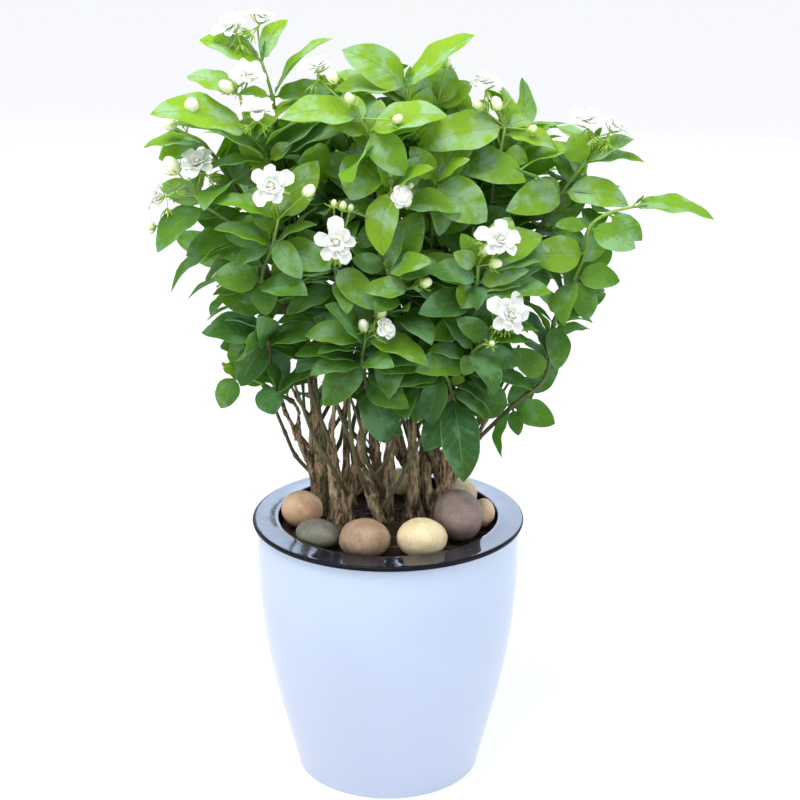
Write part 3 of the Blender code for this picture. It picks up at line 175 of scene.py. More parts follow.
class Graph:
    """A node tree with short ways to add to it."""

    def __init__(self, tree):
        self.tree = tree

    def node(self, kind, settings=None, inputs=None, output=0):
        made = self.tree.nodes.new(kind)
        for name, value in (settings or {}).items():
            if name == "stops":
                self.set_stops(made.color_ramp, value)
            else:
                setattr(made, name, value)
        for name, value in (inputs or {}).items():
            self.join(value, made.inputs[name])
        return Wire(self, made.outputs[output])

    def join(self, value, socket):
        if isinstance(value, Wire):
            self.tree.links.new(value.socket, socket)
        else:
            socket.default_value = value

    def set_stops(self, ramp, stops):
        while len(ramp.elements) > 1:
            ramp.elements.remove(ramp.elements[-1])
        for i, (place, colour) in enumerate(stops):
            stop = ramp.elements[0] if i == 0 else ramp.elements.new(place)
            stop.position = place
            stop.color = (*colour, 1.0)

    def vector(self, operation, *sides, output=0, **named):
        inputs = {**dict(enumerate(sides)), **named}
        return self.node("ShaderNodeVectorMath", dict(operation=operation), inputs, output)


EVEN = (1.0, 1.0, 1.0)


class Finish(Graph):
    """A material on a Principled shader."""

    def __init__(self, name, **constants):
        self.material = bpy.data.materials.new(name)
        self.material.use_nodes = True
        super().__init__(self.material.node_tree)
        self.shader = self.tree.nodes["Principled BSDF"]
        for socket, value in constants.items():
            self.put(socket.replace("_", " ").title().replace("Ior", "IOR"), value)

    def put(self, socket, value):
        if isinstance(value, tuple):
            value = (*value, 1.0)
        self.join(value, self.shader.inputs[socket])

    def place(self, stretch=EVEN):
        """A point on the object in metres, times the stretch."""
        where = self.node("ShaderNodeTexCoord", {}, {}, "Object")
        return self.node("ShaderNodeMapping", {}, {"Vector": where, "Scale": stretch})

    def value(self, name):
        return self.node("ShaderNodeAttribute", dict(attribute_name=name), {}, "Fac")

    def noise(self, scale, detail=3.0, roughness=0.55, stretch=EVEN):
        inputs = {"Scale": scale, "Detail": detail, "Roughness": roughness}
        return self.node("ShaderNodeTexNoise", {}, {"Vector": self.place(stretch), **inputs})

    def cells(self, scale, stretch=EVEN):
        inputs = {"Vector": self.place(stretch), "Scale": scale}
        return self.node("ShaderNodeTexVoronoi", {}, inputs)

    def ramp(self, share, stops):
        return self.node("ShaderNodeValToRGB", dict(stops=stops), {0: share})

    def mix(self, share, one, two):
        one, two = [(*each, 1.0) if isinstance(each, tuple) else each for each in (one, two)]
        return self.node("ShaderNodeMix", dict(data_type="RGBA"), {0: share, 6: one, 7: two}, 2)

    def bump(self, height, distance, strength=1.0):
        inputs = {"Height": height, "Distance": distance, "Strength": strength}
        self.put("Normal", self.node("ShaderNodeBump", {}, inputs))

    def let_through(self, colour, share):
        """Mixes in a Translucent shader, for a blade so thin that light shines through it."""
        through = self.node("ShaderNodeBsdfTranslucent", {}, {"Color": (*colour, 1.0)})
        shaders = {0: share, 1: Wire(self, self.shader.outputs[0]), 2: through}
        mixed = self.node("ShaderNodeMixShader", {}, shaders)
        self.join(mixed, self.tree.nodes["Material Output"].inputs["Surface"])


print("wires and graphs ready")

# %% [markdown]
# The floor is one plane that reaches past the horizon of the view. A little glow of its own
# stands for the sheet of white paper under a cut-out photograph, and keeps the shadow faint.

# %% Floor, world and lamps
FLOOR_SIDE = 40.0
FLOOR_DROP = 0.0002
FLOOR_GLOW = 0.74
WORLD_STRENGTH = 0.60


def aimed_lamp(name, place, target, size, energy, colour):
    lamp = bpy.data.lights.new(name, "AREA")
    lamp.shape = "RECTANGLE"
    lamp.size, lamp.size_y = size
    lamp.energy = energy
    lamp.color = colour
    holder = shown(name, lamp)
    holder.location = place
    way = Vector(target) - Vector(place)
    holder.rotation_euler = way.to_track_quat("-Z", "Y").to_euler()


floor_finish = Finish("white paper", base_color=(0.32, 0.32, 0.33), roughness=0.9)
floor_finish.put("Emission Color", (1.0, 1.0, 1.0))
floor_finish.put("Emission Strength", FLOOR_GLOW)
bpy.ops.mesh.primitive_plane_add(size=FLOOR_SIDE, location=(0.0, 0.0, -FLOOR_DROP))
floor = bpy.context.object
floor.name = "floor"
floor.data.materials.append(floor_finish.material)

world = bpy.data.worlds.new("white sky")
world.use_nodes = True
world.node_tree.nodes["Background"].inputs["Color"].default_value = (0.87, 0.92, 1.0, 1.0)
world.node_tree.nodes["Background"].inputs["Strength"].default_value = WORLD_STRENGTH
scene.world = world
aimed_lamp("sky lamp", (-0.4, -0.5, 2.3), (0.0, 0.0, 0.5), (1.3, 1.3), 48.0, (1.0, 0.99, 0.96))
aimed_lamp("left lamp", (-1.8, -1.4, 1.2), (0.0, 0.0, 0.4), (0.9, 1.2), 14.0, (1.0, 0.99, 0.96))
aimed_lamp("right lamp", (1.9, -1.0, 1.0), (0.0, 0.0, 0.3), (0.9, 1.2), 14.0, (0.92, 0.96, 1.0))
aimed_lamp("low sky", (1.22, 3.0, 1.6), (0.40, 0.0, 0.4), (3.6, 1.3), 44.0, (0.60, 0.745, 1.0))
print("floor and lamps ready")

# %% [markdown]
# ## Shaping helpers
#
# Pots, stems and buds are lofts: rings of corners joined by faces and closed at both ends.
# Clay gathers such rings until they become one mesh, with a value or two per corner that a
# material can read later, such as how old a stem is.

# %% Clay, lofts and finishing
class Clay:
    """Corners, faces and values per corner, gathered into one mesh."""

    def __init__(self):
        self.corners = []
        self.faces = []
        self.values = {}

    def add(self, corners, faces, **values):
        first = len(self.corners)
        self.corners += corners
        self.faces += [[first + corner for corner in face] for face in faces]
        for name, each in values.items():
            self.values.setdefault(name, []).extend(each)

    def fired(self, name, *finishes, smooth=40.0):
        mesh = bpy.data.meshes.new(name)
        mesh.from_pydata([tuple(corner) for corner in self.corners], [], self.faces)
        for value, each in self.values.items():
            mesh.attributes.new(value, "FLOAT", "POINT").data.foreach_set("value", each)
        return finished(name, mesh, finishes, smooth)


def finished(name, mesh, finishes, smooth=40.0):
    """An object with outward faces, smooth but for its sharp edges, in the given finishes."""
    shape = bmesh.new()
    shape.from_mesh(mesh)
    bmesh.ops.recalc_face_normals(shape, faces=shape.faces)
    shape.to_mesh(mesh)
    shape.free()
    mesh.shade_smooth()
    mesh.set_sharp_from_angle(angle=radians(smooth))
    for i, finish in enumerate(finishes):
        if i < len(mesh.materials):
            mesh.materials[i] = finish.material
        else:
            mesh.materials.append(finish.material)
    mesh.name = name
    return shown(name, mesh)


def evenly(first, last, count):
    """Numbers in equal steps from the first to the last."""
    return [first + (last - first) * i / (count - 1) for i in range(count)]


def round_turn(sides):
    """The angles of a ring's corners."""
    return [2 * pi * k / sides for k in range(sides)]


def loft(rings):
    """Faces that join equal rings one after another, with a cap at each end."""
    sides = len(rings[0])
    faces = [list(range(sides))[::-1], [sides * (len(rings) - 1) + k for k in range(sides)]]
    for i in range(len(rings) - 1):
        for k in range(sides):
            a, b = i * sides + k, i * sides + (k + 1) % sides
            faces.append([a, b, b + sides, a + sides])
    return [corner for ring in rings for corner in ring], faces


def tube_rings(points, radii, sides):
    """Rings along a line, each carried on from the last without twist."""
    rings = []
    across = (points[1] - points[0]).orthogonal()
    for i, point in enumerate(points):
        way = (points[min(i + 1, len(points) - 1)] - points[max(i - 1, 0)]).normalized()
        across = (across - way * across.dot(way)).normalized()
        over = way.cross(across)
        ring = [across * cos(turn) + over * sin(turn) for turn in round_turn(sides)]
        rings.append([point + way_out * radii[i] for way_out in ring])
    return rings


def flowing(points, steps):
    """More points, on a smooth line through the given ones."""
    ends = [points[0] * 2 - points[1], *points, points[-1] * 2 - points[-2]]
    line = []
    for i in range(len(points) - 1):
        before, here, there, after = ends[i:i + 4]
        for step in range(steps):
            t = step / steps
            pull = here * 2 + (there - before) * t + (before * 2 - here * 5 + there * 4 - after) * t * t
            pull += (here * 3 - before - there * 3 + after) * t * t * t
            line.append(pull * 0.5)
    return line + [points[-1]]


def evaluated(thing):
    """The plain mesh that an object shows with its modifiers, which are then taken off."""
    graph = bpy.context.evaluated_depsgraph_get()
    mesh = bpy.data.meshes.new_from_object(thing.evaluated_get(graph), depsgraph=graph)
    bpy.data.objects.remove(thing, do_unlink=True)
    return mesh


def dressed(piece, slot, *nodes):
    """Ties a finished piece to the frame: it rides on the one body and stands for its nodes."""
    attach(piece, "root")
    if nodes:
        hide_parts(*nodes)
    return piece


print("helpers ready")

# %% [markdown]
# ## The white pot
#
# The real pot is moulded in glossy plastic. Its wall swells from the foot and runs straight
# for the last few centimetres under the rim. A pot could be lathed with a Screw modifier, but
# rings of corners give rounded edges exactly where they are wanted and stay closed at the
# axis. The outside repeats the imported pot's profile. Underneath, a shallow recess leaves a
# standing ring, as such pots have.

# %% Pot profile
POT_HEIGHT = 0.2546
POT_FOOT_RADIUS = 0.0885
POT_TOP_RADIUS = 0.1259
POT_SWELL_HEIGHT = 0.2235
POT_WALL = 0.003
POT_FOOT_ROUND = 0.003
FOOT_RECESS = 0.0018
FOOT_RING = 0.012
TURNED_SIDES = 144
AXIS_RING = 0.001
POT_RINGS = 28


def pot_radius(height):
    swell = sin(pi / 2 * min(height / POT_SWELL_HEIGHT, 1.0))
    return POT_FOOT_RADIUS + (POT_TOP_RADIUS - POT_FOOT_RADIUS) * swell


def rounded(radius, height, size, start, end, steps=5):
    """Points on a rounded edge about a centre, from one angle in degrees to another."""
    angles = [radians(angle) for angle in evenly(start, end, steps)]
    return [(radius + size * cos(a), height + size * sin(a)) for a in angles]


def turned(profile, name, *finishes, smooth=40.0):
    """A closed solid turned round Z from a profile that starts and ends on the axis."""
    clay = Clay()
    turns = round_turn(TURNED_SIDES)
    rings = []
    for radius, height in profile[1:-1]:
        rings.append([Vector((radius * cos(t), radius * sin(t), height)) for t in turns])
    clay.add(*loft(rings))
    return clay.fired(name, *finishes, smooth=smooth)


def pot_profile():
    rise = [POT_SWELL_HEIGHT * i / POT_RINGS for i in range(1, POT_RINGS + 1)]
    edge = POT_WALL / 2
    inside = [(0.0, POT_WALL), (AXIS_RING, POT_WALL), (pot_radius(POT_WALL) - POT_WALL, POT_WALL)]
    inside += [(pot_radius(z) - POT_WALL, z) for z in rise]
    lip = rounded(POT_TOP_RADIUS - edge, POT_HEIGHT - edge, edge, 180, 0, 7)
    outside = [(pot_radius(z), z) for z in reversed(rise) if z > POT_FOOT_ROUND]
    foot = rounded(POT_FOOT_RADIUS - POT_FOOT_ROUND * 0.6, POT_FOOT_ROUND, POT_FOOT_ROUND, 0, -90)
    inner = POT_FOOT_RADIUS - FOOT_RING
    foot += [(inner, 0.0), (inner - FOOT_RECESS, FOOT_RECESS)]
    foot += [(AXIS_RING, FOOT_RECESS), (0.0, FOOT_RECESS)]
    return inside + lip + outside + foot


white_glaze = Finish("glossy bluish white", roughness=0.16, specular_ior_level=0.42)
cloud = white_glaze.noise(9.0, 2.0)
# Painted shade: the pot's colour turns a little darker and greyer towards its foot.
foot_painted_shade = white_glaze.place().part("Z").spread(0.0, 0.26)
upper = white_glaze.mix(cloud.spread(0.35, 0.65), (0.512, 0.600, 0.765), (0.530, 0.622, 0.783))
white_glaze.put("Base Color", white_glaze.mix(foot_painted_shade, (0.505, 0.573, 0.735), upper))
scuffs = white_glaze.noise(160.0, 4.0, stretch=(1.0, 1.0, 0.4))
white_glaze.put("Roughness", scuffs.spread(0.45, 0.75, 0.13, 0.24))
white_glaze.bump(white_glaze.noise(26.0, 2.0), 0.0003, 0.35)
pot = dressed(turned(pot_profile(), "pot_body", white_glaze), "pot_white", "pot")
print("pot:", len(pot.data.polygons), "faces")

# %% [markdown]
# ## The black inner pot
#
# The inner pot drops into the white one and hangs by a broad, slightly sloping rim. Its gloss
# is what shows most: seen at a low angle it mirrors the sky, and near the eye it stays almost
# black. So the colour is nearly black and all the rest is left to the shader's reflection,
# with faint waves in the surface that break the mirrored edges, as moulded plastic has. The
# lip and the walls are duller, and draw a black line between the rim and the white pot.

# %% Inner pot
RIM_RADIUS = 0.130
RIM_INNER_RADIUS = 0.105
RIM_TOP = 0.2591
RIM_INNER_RISE = 0.0008
RIM_ROUND = 0.0012
RIM_RINGS = 8
RIM_DISH = 0.0003
LIP_UNDER = POT_HEIGHT + 0.0003
LIP_ROUND = 0.0021
LIP_GLOSS = 0.0003
INNER_POT_FLOOR = 0.075
INNER_POT_FLOOR_RADIUS = 0.088
INNER_POT_TOP_RADIUS = 0.1195
INNER_POT_WALL = 0.0025
SOIL_RING_TOP = 0.2465


def inner_pot_profile():
    inner_edge = RIM_TOP + RIM_INNER_RISE
    inner_floor = INNER_POT_FLOOR + INNER_POT_WALL
    profile = [(0.0, inner_floor), (AXIS_RING, inner_floor)]
    profile += [(INNER_POT_FLOOR_RADIUS - INNER_POT_WALL, inner_floor)]
    profile += [(RIM_INNER_RADIUS - 0.0006, SOIL_RING_TOP - 0.004)]
    profile += [(RIM_INNER_RADIUS - 0.0002, SOIL_RING_TOP + 0.004)]
    profile += rounded(RIM_INNER_RADIUS + RIM_ROUND, inner_edge - RIM_ROUND, RIM_ROUND, 180, 95)
    flat = RIM_RADIUS - LIP_ROUND - RIM_INNER_RADIUS - RIM_ROUND
    for i in range(1, RIM_RINGS):
        share = i / RIM_RINGS
        dish = sin(pi * share) * RIM_DISH
        height = inner_edge - RIM_INNER_RISE * share - dish
        profile.append((RIM_INNER_RADIUS + RIM_ROUND + flat * share, height))
    profile += rounded(RIM_RADIUS - LIP_ROUND, RIM_TOP - LIP_ROUND, LIP_ROUND, 88, 0, 8)
    profile += [(RIM_RADIUS - 0.0006, LIP_UNDER), (INNER_POT_TOP_RADIUS, LIP_UNDER)]
    profile += [(radius, INNER_POT_FLOOR) for radius in (INNER_POT_FLOOR_RADIUS, AXIS_RING, 0.0)]
    return profile


black_gloss = Finish("glossy near black", specular_ior_level=0.5, coat_roughness=0.04)
black_gloss.put("Coat Weight", 0.35)
dust = black_gloss.noise(140.0, 5.0).spread(0.5, 0.8)
black_gloss.put("Base Color", black_gloss.mix(dust, (0.004, 0.006, 0.014), (0.02, 0.024, 0.036)))
black_gloss.put("Roughness", black_gloss.noise(45.0).spread(0.4, 0.7, 0.07, 0.2))
black_gloss.bump(black_gloss.noise(55.0, 3.0), 0.0004, 0.5)
dull_black = Finish("dull near black", specular_ior_level=0.12)
worn = dull_black.noise(140.0, 5.0).spread(0.5, 0.8)
dull_black.put("Base Color", dull_black.mix(worn, (0.003, 0.004, 0.008), (0.012, 0.013, 0.018)))
dull_black.put("Roughness", worn * 0.2 + 0.4)
inner_pot = turned(inner_pot_profile(), "inner_pot_body", black_gloss, dull_black, smooth=50.0)
for face in inner_pot.data.polygons:
    face.material_index = int(face.center.z < RIM_TOP - LIP_GLOSS)
dressed(inner_pot, "pot_black", "inner_pot")
print("inner pot:", len(inner_pot.data.polygons), "faces")

# %% [markdown]
# ## Stones
#
# River stones are worn smooth, and each has its own colour, from cream to purple brown. The
# packed stones already have the right size and seat. A copy of each is merged, rounded with
# a Subdivision Surface, grown back by the little that this shrinks it, and pushed in and out
# by slow noise, so that no two have the same outline.
#
# Their finish is one recipe with a colour of its own for each: soft clouds, fine grain, and
# small dark pits that catch no light.

# %% Stone finish
STONE_COLOURS = {
    "tan": ((0.60, 0.38, 0.21), (0.74, 0.54, 0.36), (0.46, 0.25, 0.15)),
    "grey": ((0.175, 0.170, 0.130), (0.25, 0.245, 0.20), (0.11, 0.105, 0.085)),
    "brown": ((0.29, 0.180, 0.110), (0.41, 0.290, 0.19), (0.17, 0.125, 0.10)),
    "cream": ((0.70, 0.56, 0.32), (0.80, 0.69, 0.46), (0.52, 0.39, 0.20)),
    "purple": ((0.225, 0.165, 0.150), (0.33, 0.245, 0.21), (0.13, 0.105, 0.105)),
    "orange": ((0.86, 0.55, 0.33), (0.90, 0.70, 0.50), (0.62, 0.32, 0.18)),
}
STONE_ROUNDING = 2
STONE_GROW = 1.045
STONE_LUMPS = 0.0008
STONE_LUMP_SCALES = (60.0, 170.0)
STONE_DENTS = 0.0016
STONE_DENT_SCALE = 26.0


def stone_finish(name, body, light, dark):
    stone = Finish("worn stone " + name, specular_ior_level=0.35)
    clouds = stone.noise(55.0, 4.0, 0.6)
    grain = stone.noise(900.0, 3.0, 0.7)
    pits = stone.cells(420.0)
    patches = stone.noise(28.0, 5.0, 0.65, stretch=(1.0, 1.3, 0.7))
    colour = stone.mix(clouds.spread(0.35, 0.68), body, light)
    colour = stone.mix(patches.spread(0.50, 0.64, 0.0, 0.75), colour, dark)
    colour = stone.mix(grain.spread(0.50, 0.66, 0.0, 0.55), colour, dark)
    colour = stone.mix(grain.spread(0.30, 0.45, 0.45, 0.0), colour, light)
    stone.put("Base Color", colour)
    stone.put("Roughness", clouds.spread(0.3, 0.7, 0.5, 0.72))
    stone.bump(grain * 0.5 + pits.spread(0.0, 0.35), 0.00025, 0.8)
    return stone


stone_finishes = {name: stone_finish(name, *colours) for name, colours in STONE_COLOURS.items()}
print("stone finishes:", ", ".join(stone_finishes))


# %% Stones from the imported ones
def merged_copy(node):
    """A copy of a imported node's mesh with its loose triangles joined."""
    shape = bmesh.new()
    shape.from_mesh(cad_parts[node].data)
    bmesh.ops.remove_doubles(shape, verts=shape.verts, dist=0.00001)
    mesh = bpy.data.meshes.new(node + "_copy")
    shape.to_mesh(mesh)
    shape.free()
    mesh.materials.clear()
    return shown(node + "_copy", mesh)


def worn_stone(node):
    copy = merged_copy(node)
    rounder = copy.modifiers.new("rounder", "SUBSURF")
    rounder.levels = rounder.render_levels = STONE_ROUNDING
    mesh = evaluated(copy)
    low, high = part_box(node)
    centre = (Vector(low) + Vector(high)) / 2
    coarse, fine = STONE_LUMP_SCALES
    for vertex in mesh.vertices:
        out = (vertex.co - centre) * STONE_GROW
        lump = noise.noise(vertex.co * coarse) + 0.4 * noise.noise(vertex.co * fine)
        push = lump * STONE_LUMPS + noise.noise(vertex.co * STONE_DENT_SCALE) * STONE_DENTS
        vertex.co = centre + out + out.normalized() * push
    kind = node.split("_")[1]
    return dressed(finished(node + "_worn", mesh, [stone_finishes[kind]]), "stone_" + kind, node)


stones = [worn_stone(node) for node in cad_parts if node.startswith("stone_")]
print("stones:", len(stones))

# %% [markdown]
# ## Growing with Geometry Nodes
#
# Chips of bark in the soil, flakes on the trunks, leaves, petals and the thin lobes under the
# flowers all repeat one small shape under a rule. Geometry Nodes suit that: one tree holds the
# rule, its named inputs hold the sizes, and a fixed seed keeps every run the same.
#
# Nursery builds such a tree. It names the inputs, scatters points, draws random numbers, and
# ends in Realize Instances and Set Material, because an exported model keeps no instances. It
# sets a modifier's inputs by identifier before the first look at the result.

# %% Tree builder
class Nursery(Graph):
    """A Geometry Nodes tree with named inputs, and the modifier that runs it."""

    def __init__(self, name, **sizes):
        super().__init__(bpy.data.node_groups.new(name, "GeometryNodeTree"))
        self.identifiers = {}
        self.add_socket("Geometry", "Geometry")
        for label, value in sizes.items():
            kind = "Int" if isinstance(value, int) else "Float"
            self.add_socket(label, kind).default_value = value
        self.add_socket("finish", "Material")
        self.add_socket("Geometry", "Geometry", "OUTPUT")
        self.start = self.tree.nodes.new("NodeGroupInput")
        self.end = self.tree.nodes.new("NodeGroupOutput")

    def add_socket(self, label, kind, side="INPUT"):
        new_socket = self.tree.interface.new_socket
        made = new_socket(label, in_out=side, socket_type="NodeSocket" + kind)
        self.identifiers[label] = made.identifier
        return made

    def size(self, label):
        return Wire(self, self.start.outputs[label])

    def stored(self, mesh, label, value):
        inputs = {"Geometry": mesh, "Name": label, "Value": value}
        return self.node("GeometryNodeStoreNamedAttribute", dict(data_type="FLOAT"), inputs)

    def read(self, label, kind="FLOAT"):
        return self.node("GeometryNodeInputNamedAttribute", dict(data_type=kind), {"Name": label})

    def scattered(self, chosen):
        """Random points on the chosen faces, at the tree's density and seed."""
        inputs = {"Mesh": self.size("Geometry"), "Selection": chosen}
        inputs.update({"Density": self.size("density"), "Seed": self.size("seed")})
        return self.node("GeometryNodeDistributePointsOnFaces", {}, inputs)

    def random(self, low, high):
        """A random number or vector for each point, by the tree's seed."""
        kind, first, output = ("FLOAT_VECTOR", 0, 0) if isinstance(low, tuple) else ("FLOAT", 2, 1)
        inputs = {first: low, first + 1: high, "Seed": self.size("seed")}
        return self.node("FunctionNodeRandomValue", dict(data_type=kind), inputs, output)

    def set_on(self, spots, shape, turn, size):
        """Sets the shape on every point, and ends the tree with the result."""
        inputs = {"Points": spots, "Instance": shape, "Rotation": turn, "Scale": size}
        self.hand_over(self.node("GeometryNodeInstanceOnPoints", {}, inputs))

    def hand_over(self, mesh):
        real = self.node("GeometryNodeRealizeInstances", {}, {"Geometry": mesh})
        inputs = {"Geometry": real, "Material": self.size("finish")}
        self.join(self.node("GeometryNodeSetMaterial", {}, inputs), self.end.inputs[0])

    def run_on(self, thing, finish, **sizes):
        grower = thing.modifiers.new("grower", "NODES")
        grower.node_group = self.tree
        for label, value in sizes.items():
            grower[self.identifiers[label]] = value
        grower[self.identifiers["finish"]] = finish.material


print("tree builder ready")

# %% [markdown]
# ## Soil
#
# Potting mix is dark, crumbly and full of bark chips and root threads. The packed soil is a
# plain low mound. Here it is turned again with many rings, so that noise can crumble its top,
# and chips are scattered over it by Geometry Nodes: random points on the upward faces, each
# with one flattened crumb, turned and sized at random. Root threads wander over the surface
# as thin tubes.

# %% Soil body
SOIL_MOUND_TOP = 0.2520
SOIL_MOUND_RADIUS = 0.036
SOIL_MOUND_FOOT = 0.054
SOIL_SIDE = 0.1032
SOIL_FLOOR = 0.0778
SOIL_FLOOR_SIDE = 0.0850
SOIL_RINGS = 60
SOIL_ROUGH = 0.00128


def soil_height(radius):
    slope = (radius - SOIL_MOUND_RADIUS) / (SOIL_MOUND_FOOT - SOIL_MOUND_RADIUS)
    share = min(max(slope, 0.0), 1.0)
    return SOIL_MOUND_TOP + (SOIL_RING_TOP - SOIL_MOUND_TOP) * share * share * (3 - 2 * share)


soil_finish = Finish("damp potting mix", specular_ior_level=0.25)
crumbs = soil_finish.noise(700.0, 5.0, 0.7)
clods = soil_finish.cells(260.0)
soil_colours = [
    (0.0, (0.004, 0.003, 0.002)), (0.5, (0.025, 0.013, 0.008)), (0.8, (0.085, 0.040, 0.022)),
]
soil_finish.put("Base Color", soil_finish.ramp(crumbs.spread(0.3, 0.75), soil_colours))
soil_finish.put("Roughness", crumbs.spread(0.3, 0.7, 0.7, 0.95))
soil_finish.bump(crumbs + clods * 0.6, 0.0012)

middle_rings = [SOIL_SIDE * i / SOIL_RINGS for i in range(1, SOIL_RINGS)]
soil_profile = [(0.0, SOIL_FLOOR), (AXIS_RING, SOIL_FLOOR), (SOIL_FLOOR_SIDE, SOIL_FLOOR)]
soil_profile += [(SOIL_SIDE, SOIL_RING_TOP - 0.004), (SOIL_SIDE, SOIL_RING_TOP - 0.001)]
soil_profile += [(radius, soil_height(radius)) for radius in reversed(middle_rings)]
soil_profile += [(0.0, SOIL_MOUND_TOP)]
soil = turned(soil_profile, "soil_body", soil_finish)
for corner in soil.data.vertices:
    if corner.co.z > SOIL_RING_TOP - 0.0005:
        rough = noise.noise(corner.co * 190.0) + 0.6 * noise.noise(corner.co * 430.0)
        corner.co.z += rough * SOIL_ROUGH
dressed(soil, "soil", "soil")
print("soil:", len(soil.data.polygons), "faces")

# %% Chips and root threads
CHIP_SEED = 4
THREADS = 70
THREAD_STEPS = 14
THREAD_STEP = 0.0035
THREAD_STARTS = (0.008, 0.085)
THREAD_REACH = 0.098
THREAD_LIFTS = (0.0002, 0.0016)
THREAD_RADII = (0.0003, 0.0006)
THREAD_SIDES = 5

chip_finish = Finish("bark chip", specular_ior_level=0.3)
chip_grain = chip_finish.noise(420.0, 4.0, 0.7)
chip_colours = [(0.0, (0.02, 0.009, 0.005)), (0.45, (0.10, 0.040, 0.022)), (0.8, (0.24, 0.115, 0.06))]
chip_finish.put("Base Color", chip_finish.ramp(chip_grain.spread(0.3, 0.7), chip_colours))
chip_finish.put("Roughness", chip_grain.spread(0.3, 0.7, 0.6, 0.9))

scatter = Nursery("scatter chips", density=52000.0, smallest=0.0008, largest=0.0038, seed=CHIP_SEED)
height = scatter.node("GeometryNodeInputPosition").part("Z")
spots = scatter.scattered(height.maths("GREATER_THAN", SOIL_RING_TOP - 0.002))
crumb = scatter.node("GeometryNodeMeshIcoSphere", {}, {"Radius": 1.0, "Subdivisions": 1})
flat = scatter.node("GeometryNodeTransform", {}, {"Geometry": crumb, "Scale": (0.5, 0.28, 0.16)})
turn = scatter.random((-0.7, -0.7, 0.0), (0.7, 0.7, 6.28))
pick = scatter.random(0.0, 1.0)
smallest, largest = scatter.size("smallest"), scatter.size("largest")
scatter.set_on(spots, flat, turn, smallest + pick * pick * pick * (largest - smallest))

chip_bed = shown("chip_bed", soil.data.copy())
scatter.run_on(chip_bed, chip_finish)
chips = dressed(finished("soil_chips", evaluated(chip_bed), [chip_finish], smooth=30.0), "soil", "soil")
print("chips:", len(chips.data.polygons), "faces")

thread_finish = Finish("root thread", specular_ior_level=0.3, roughness=0.7)
thread_tone = thread_finish.noise(90.0)
thread_colours = [(0.3, (0.06, 0.032, 0.018)), (0.7, (0.24, 0.15, 0.085))]
thread_finish.put("Base Color", thread_finish.ramp(thread_tone, thread_colours))
draw = Random("root threads")
threads = Clay()
for _ in range(THREADS):
    angle, radius = draw.uniform(0, 2 * pi), draw.uniform(*THREAD_STARTS)
    here = Vector((radius * cos(angle), radius * sin(angle), 0.0))
    way = draw.uniform(0, 2 * pi)
    line = []
    for _ in range(THREAD_STEPS):
        way += draw.uniform(-0.7, 0.7)
        here = here + Vector((cos(way), sin(way), 0.0)) * THREAD_STEP
        reach = here.xy.length
        if reach > THREAD_REACH:
            break
        line.append(Vector((here.x, here.y, soil_height(reach) + draw.uniform(*THREAD_LIFTS))))
    if len(line) > 3:
        radii = [draw.uniform(*THREAD_RADII) * (1 - 0.6 * i / len(line)) for i in range(len(line))]
        threads.add(*loft(tube_rings(line, radii, THREAD_SIDES)))
dressed(threads.fired("root_threads", thread_finish), "soil", "soil")
print("root threads:", len(threads.faces), "faces")

# %% [markdown]
# ## Trunks
#
# Old jasmine stems are knobbly and tan grey, with bark that splits lengthways and lifts in
# strips, and each spreads into roots where it meets the soil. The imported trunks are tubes
# joined at sharp forks. A copy is remeshed with small voxels, which melts the forks together,
# and smoothed. Then every corner is moved along its normal by noise that is stretched up the
# stem, for ridges and knots, and near the soil by a few wide lobes, for the root flare.

# %% Bark finish
bark = Finish("peeling bark", specular_ior_level=0.25)
strips = bark.noise(300.0, 4.0, 0.62, stretch=(1.0, 1.0, 0.22))
blotches = bark.noise(75.0, 4.0, 0.6, stretch=(1.0, 1.0, 0.5))
cracks = bark.cells(330.0, stretch=(1.0, 1.0, 0.35))
bark_colours = [
    (0.0, (0.030, 0.018, 0.010)), (0.3, (0.150, 0.095, 0.050)),
    (0.55, (0.370, 0.265, 0.150)), (1.0, (0.60, 0.48, 0.32)),
]
bark_colour = bark.ramp(strips.spread(0.28, 0.72), bark_colours)
bark_colour = bark.mix(blotches.spread(0.50, 0.66, 0.0, 0.7), bark_colour, (0.17, 0.17, 0.085))
bark_colour = bark.mix(blotches.spread(0.30, 0.42, 0.55, 0.0), bark_colour, (0.15, 0.06, 0.035))
young_wood = bark.place().part("Z").spread(0.33, 0.47, 0.0, 0.85)
bark_colour = bark.mix(young_wood, bark_colour, (0.105, 0.115, 0.045))
foot_shade = bark.place().part("Z").spread(0.250, 0.285, 0.55, 0.0)
bark_colour = bark.mix(foot_shade, bark_colour, (0.035, 0.02, 0.012))
bark.put("Base Color", bark_colour)
bark.put("Roughness", strips.spread(0.3, 0.7, 0.65, 0.9))
bark.bump(strips * 1.3 + cracks * 0.7, 0.0016, 1.0)
print("bark ready")

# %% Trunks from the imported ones
VOXEL = 0.0012
SOFTENING = 4
BURIED_BELOW = 0.235
KNOT_SIZE, KNOT_SCALE, KNOT_STRETCH = 0.0016, 95.0, 0.6
RIDGE_SIZE, RIDGE_SCALE, RIDGE_STRETCH = 0.0011, 420.0, 0.16
THIN_FROM, THIN_LENGTH, THINNEST = 0.37, 0.06, 0.25
FLARE_TOP, FLARE_REACH, FLARE_DEEPEST, FLARE_LOBES = 0.276, 0.0075, 1.3, 4
OLD_WOOD_TOP, OLD_WOOD_FADE, OLD_WOOD_SWELL = 0.345, 0.05, 0.0018


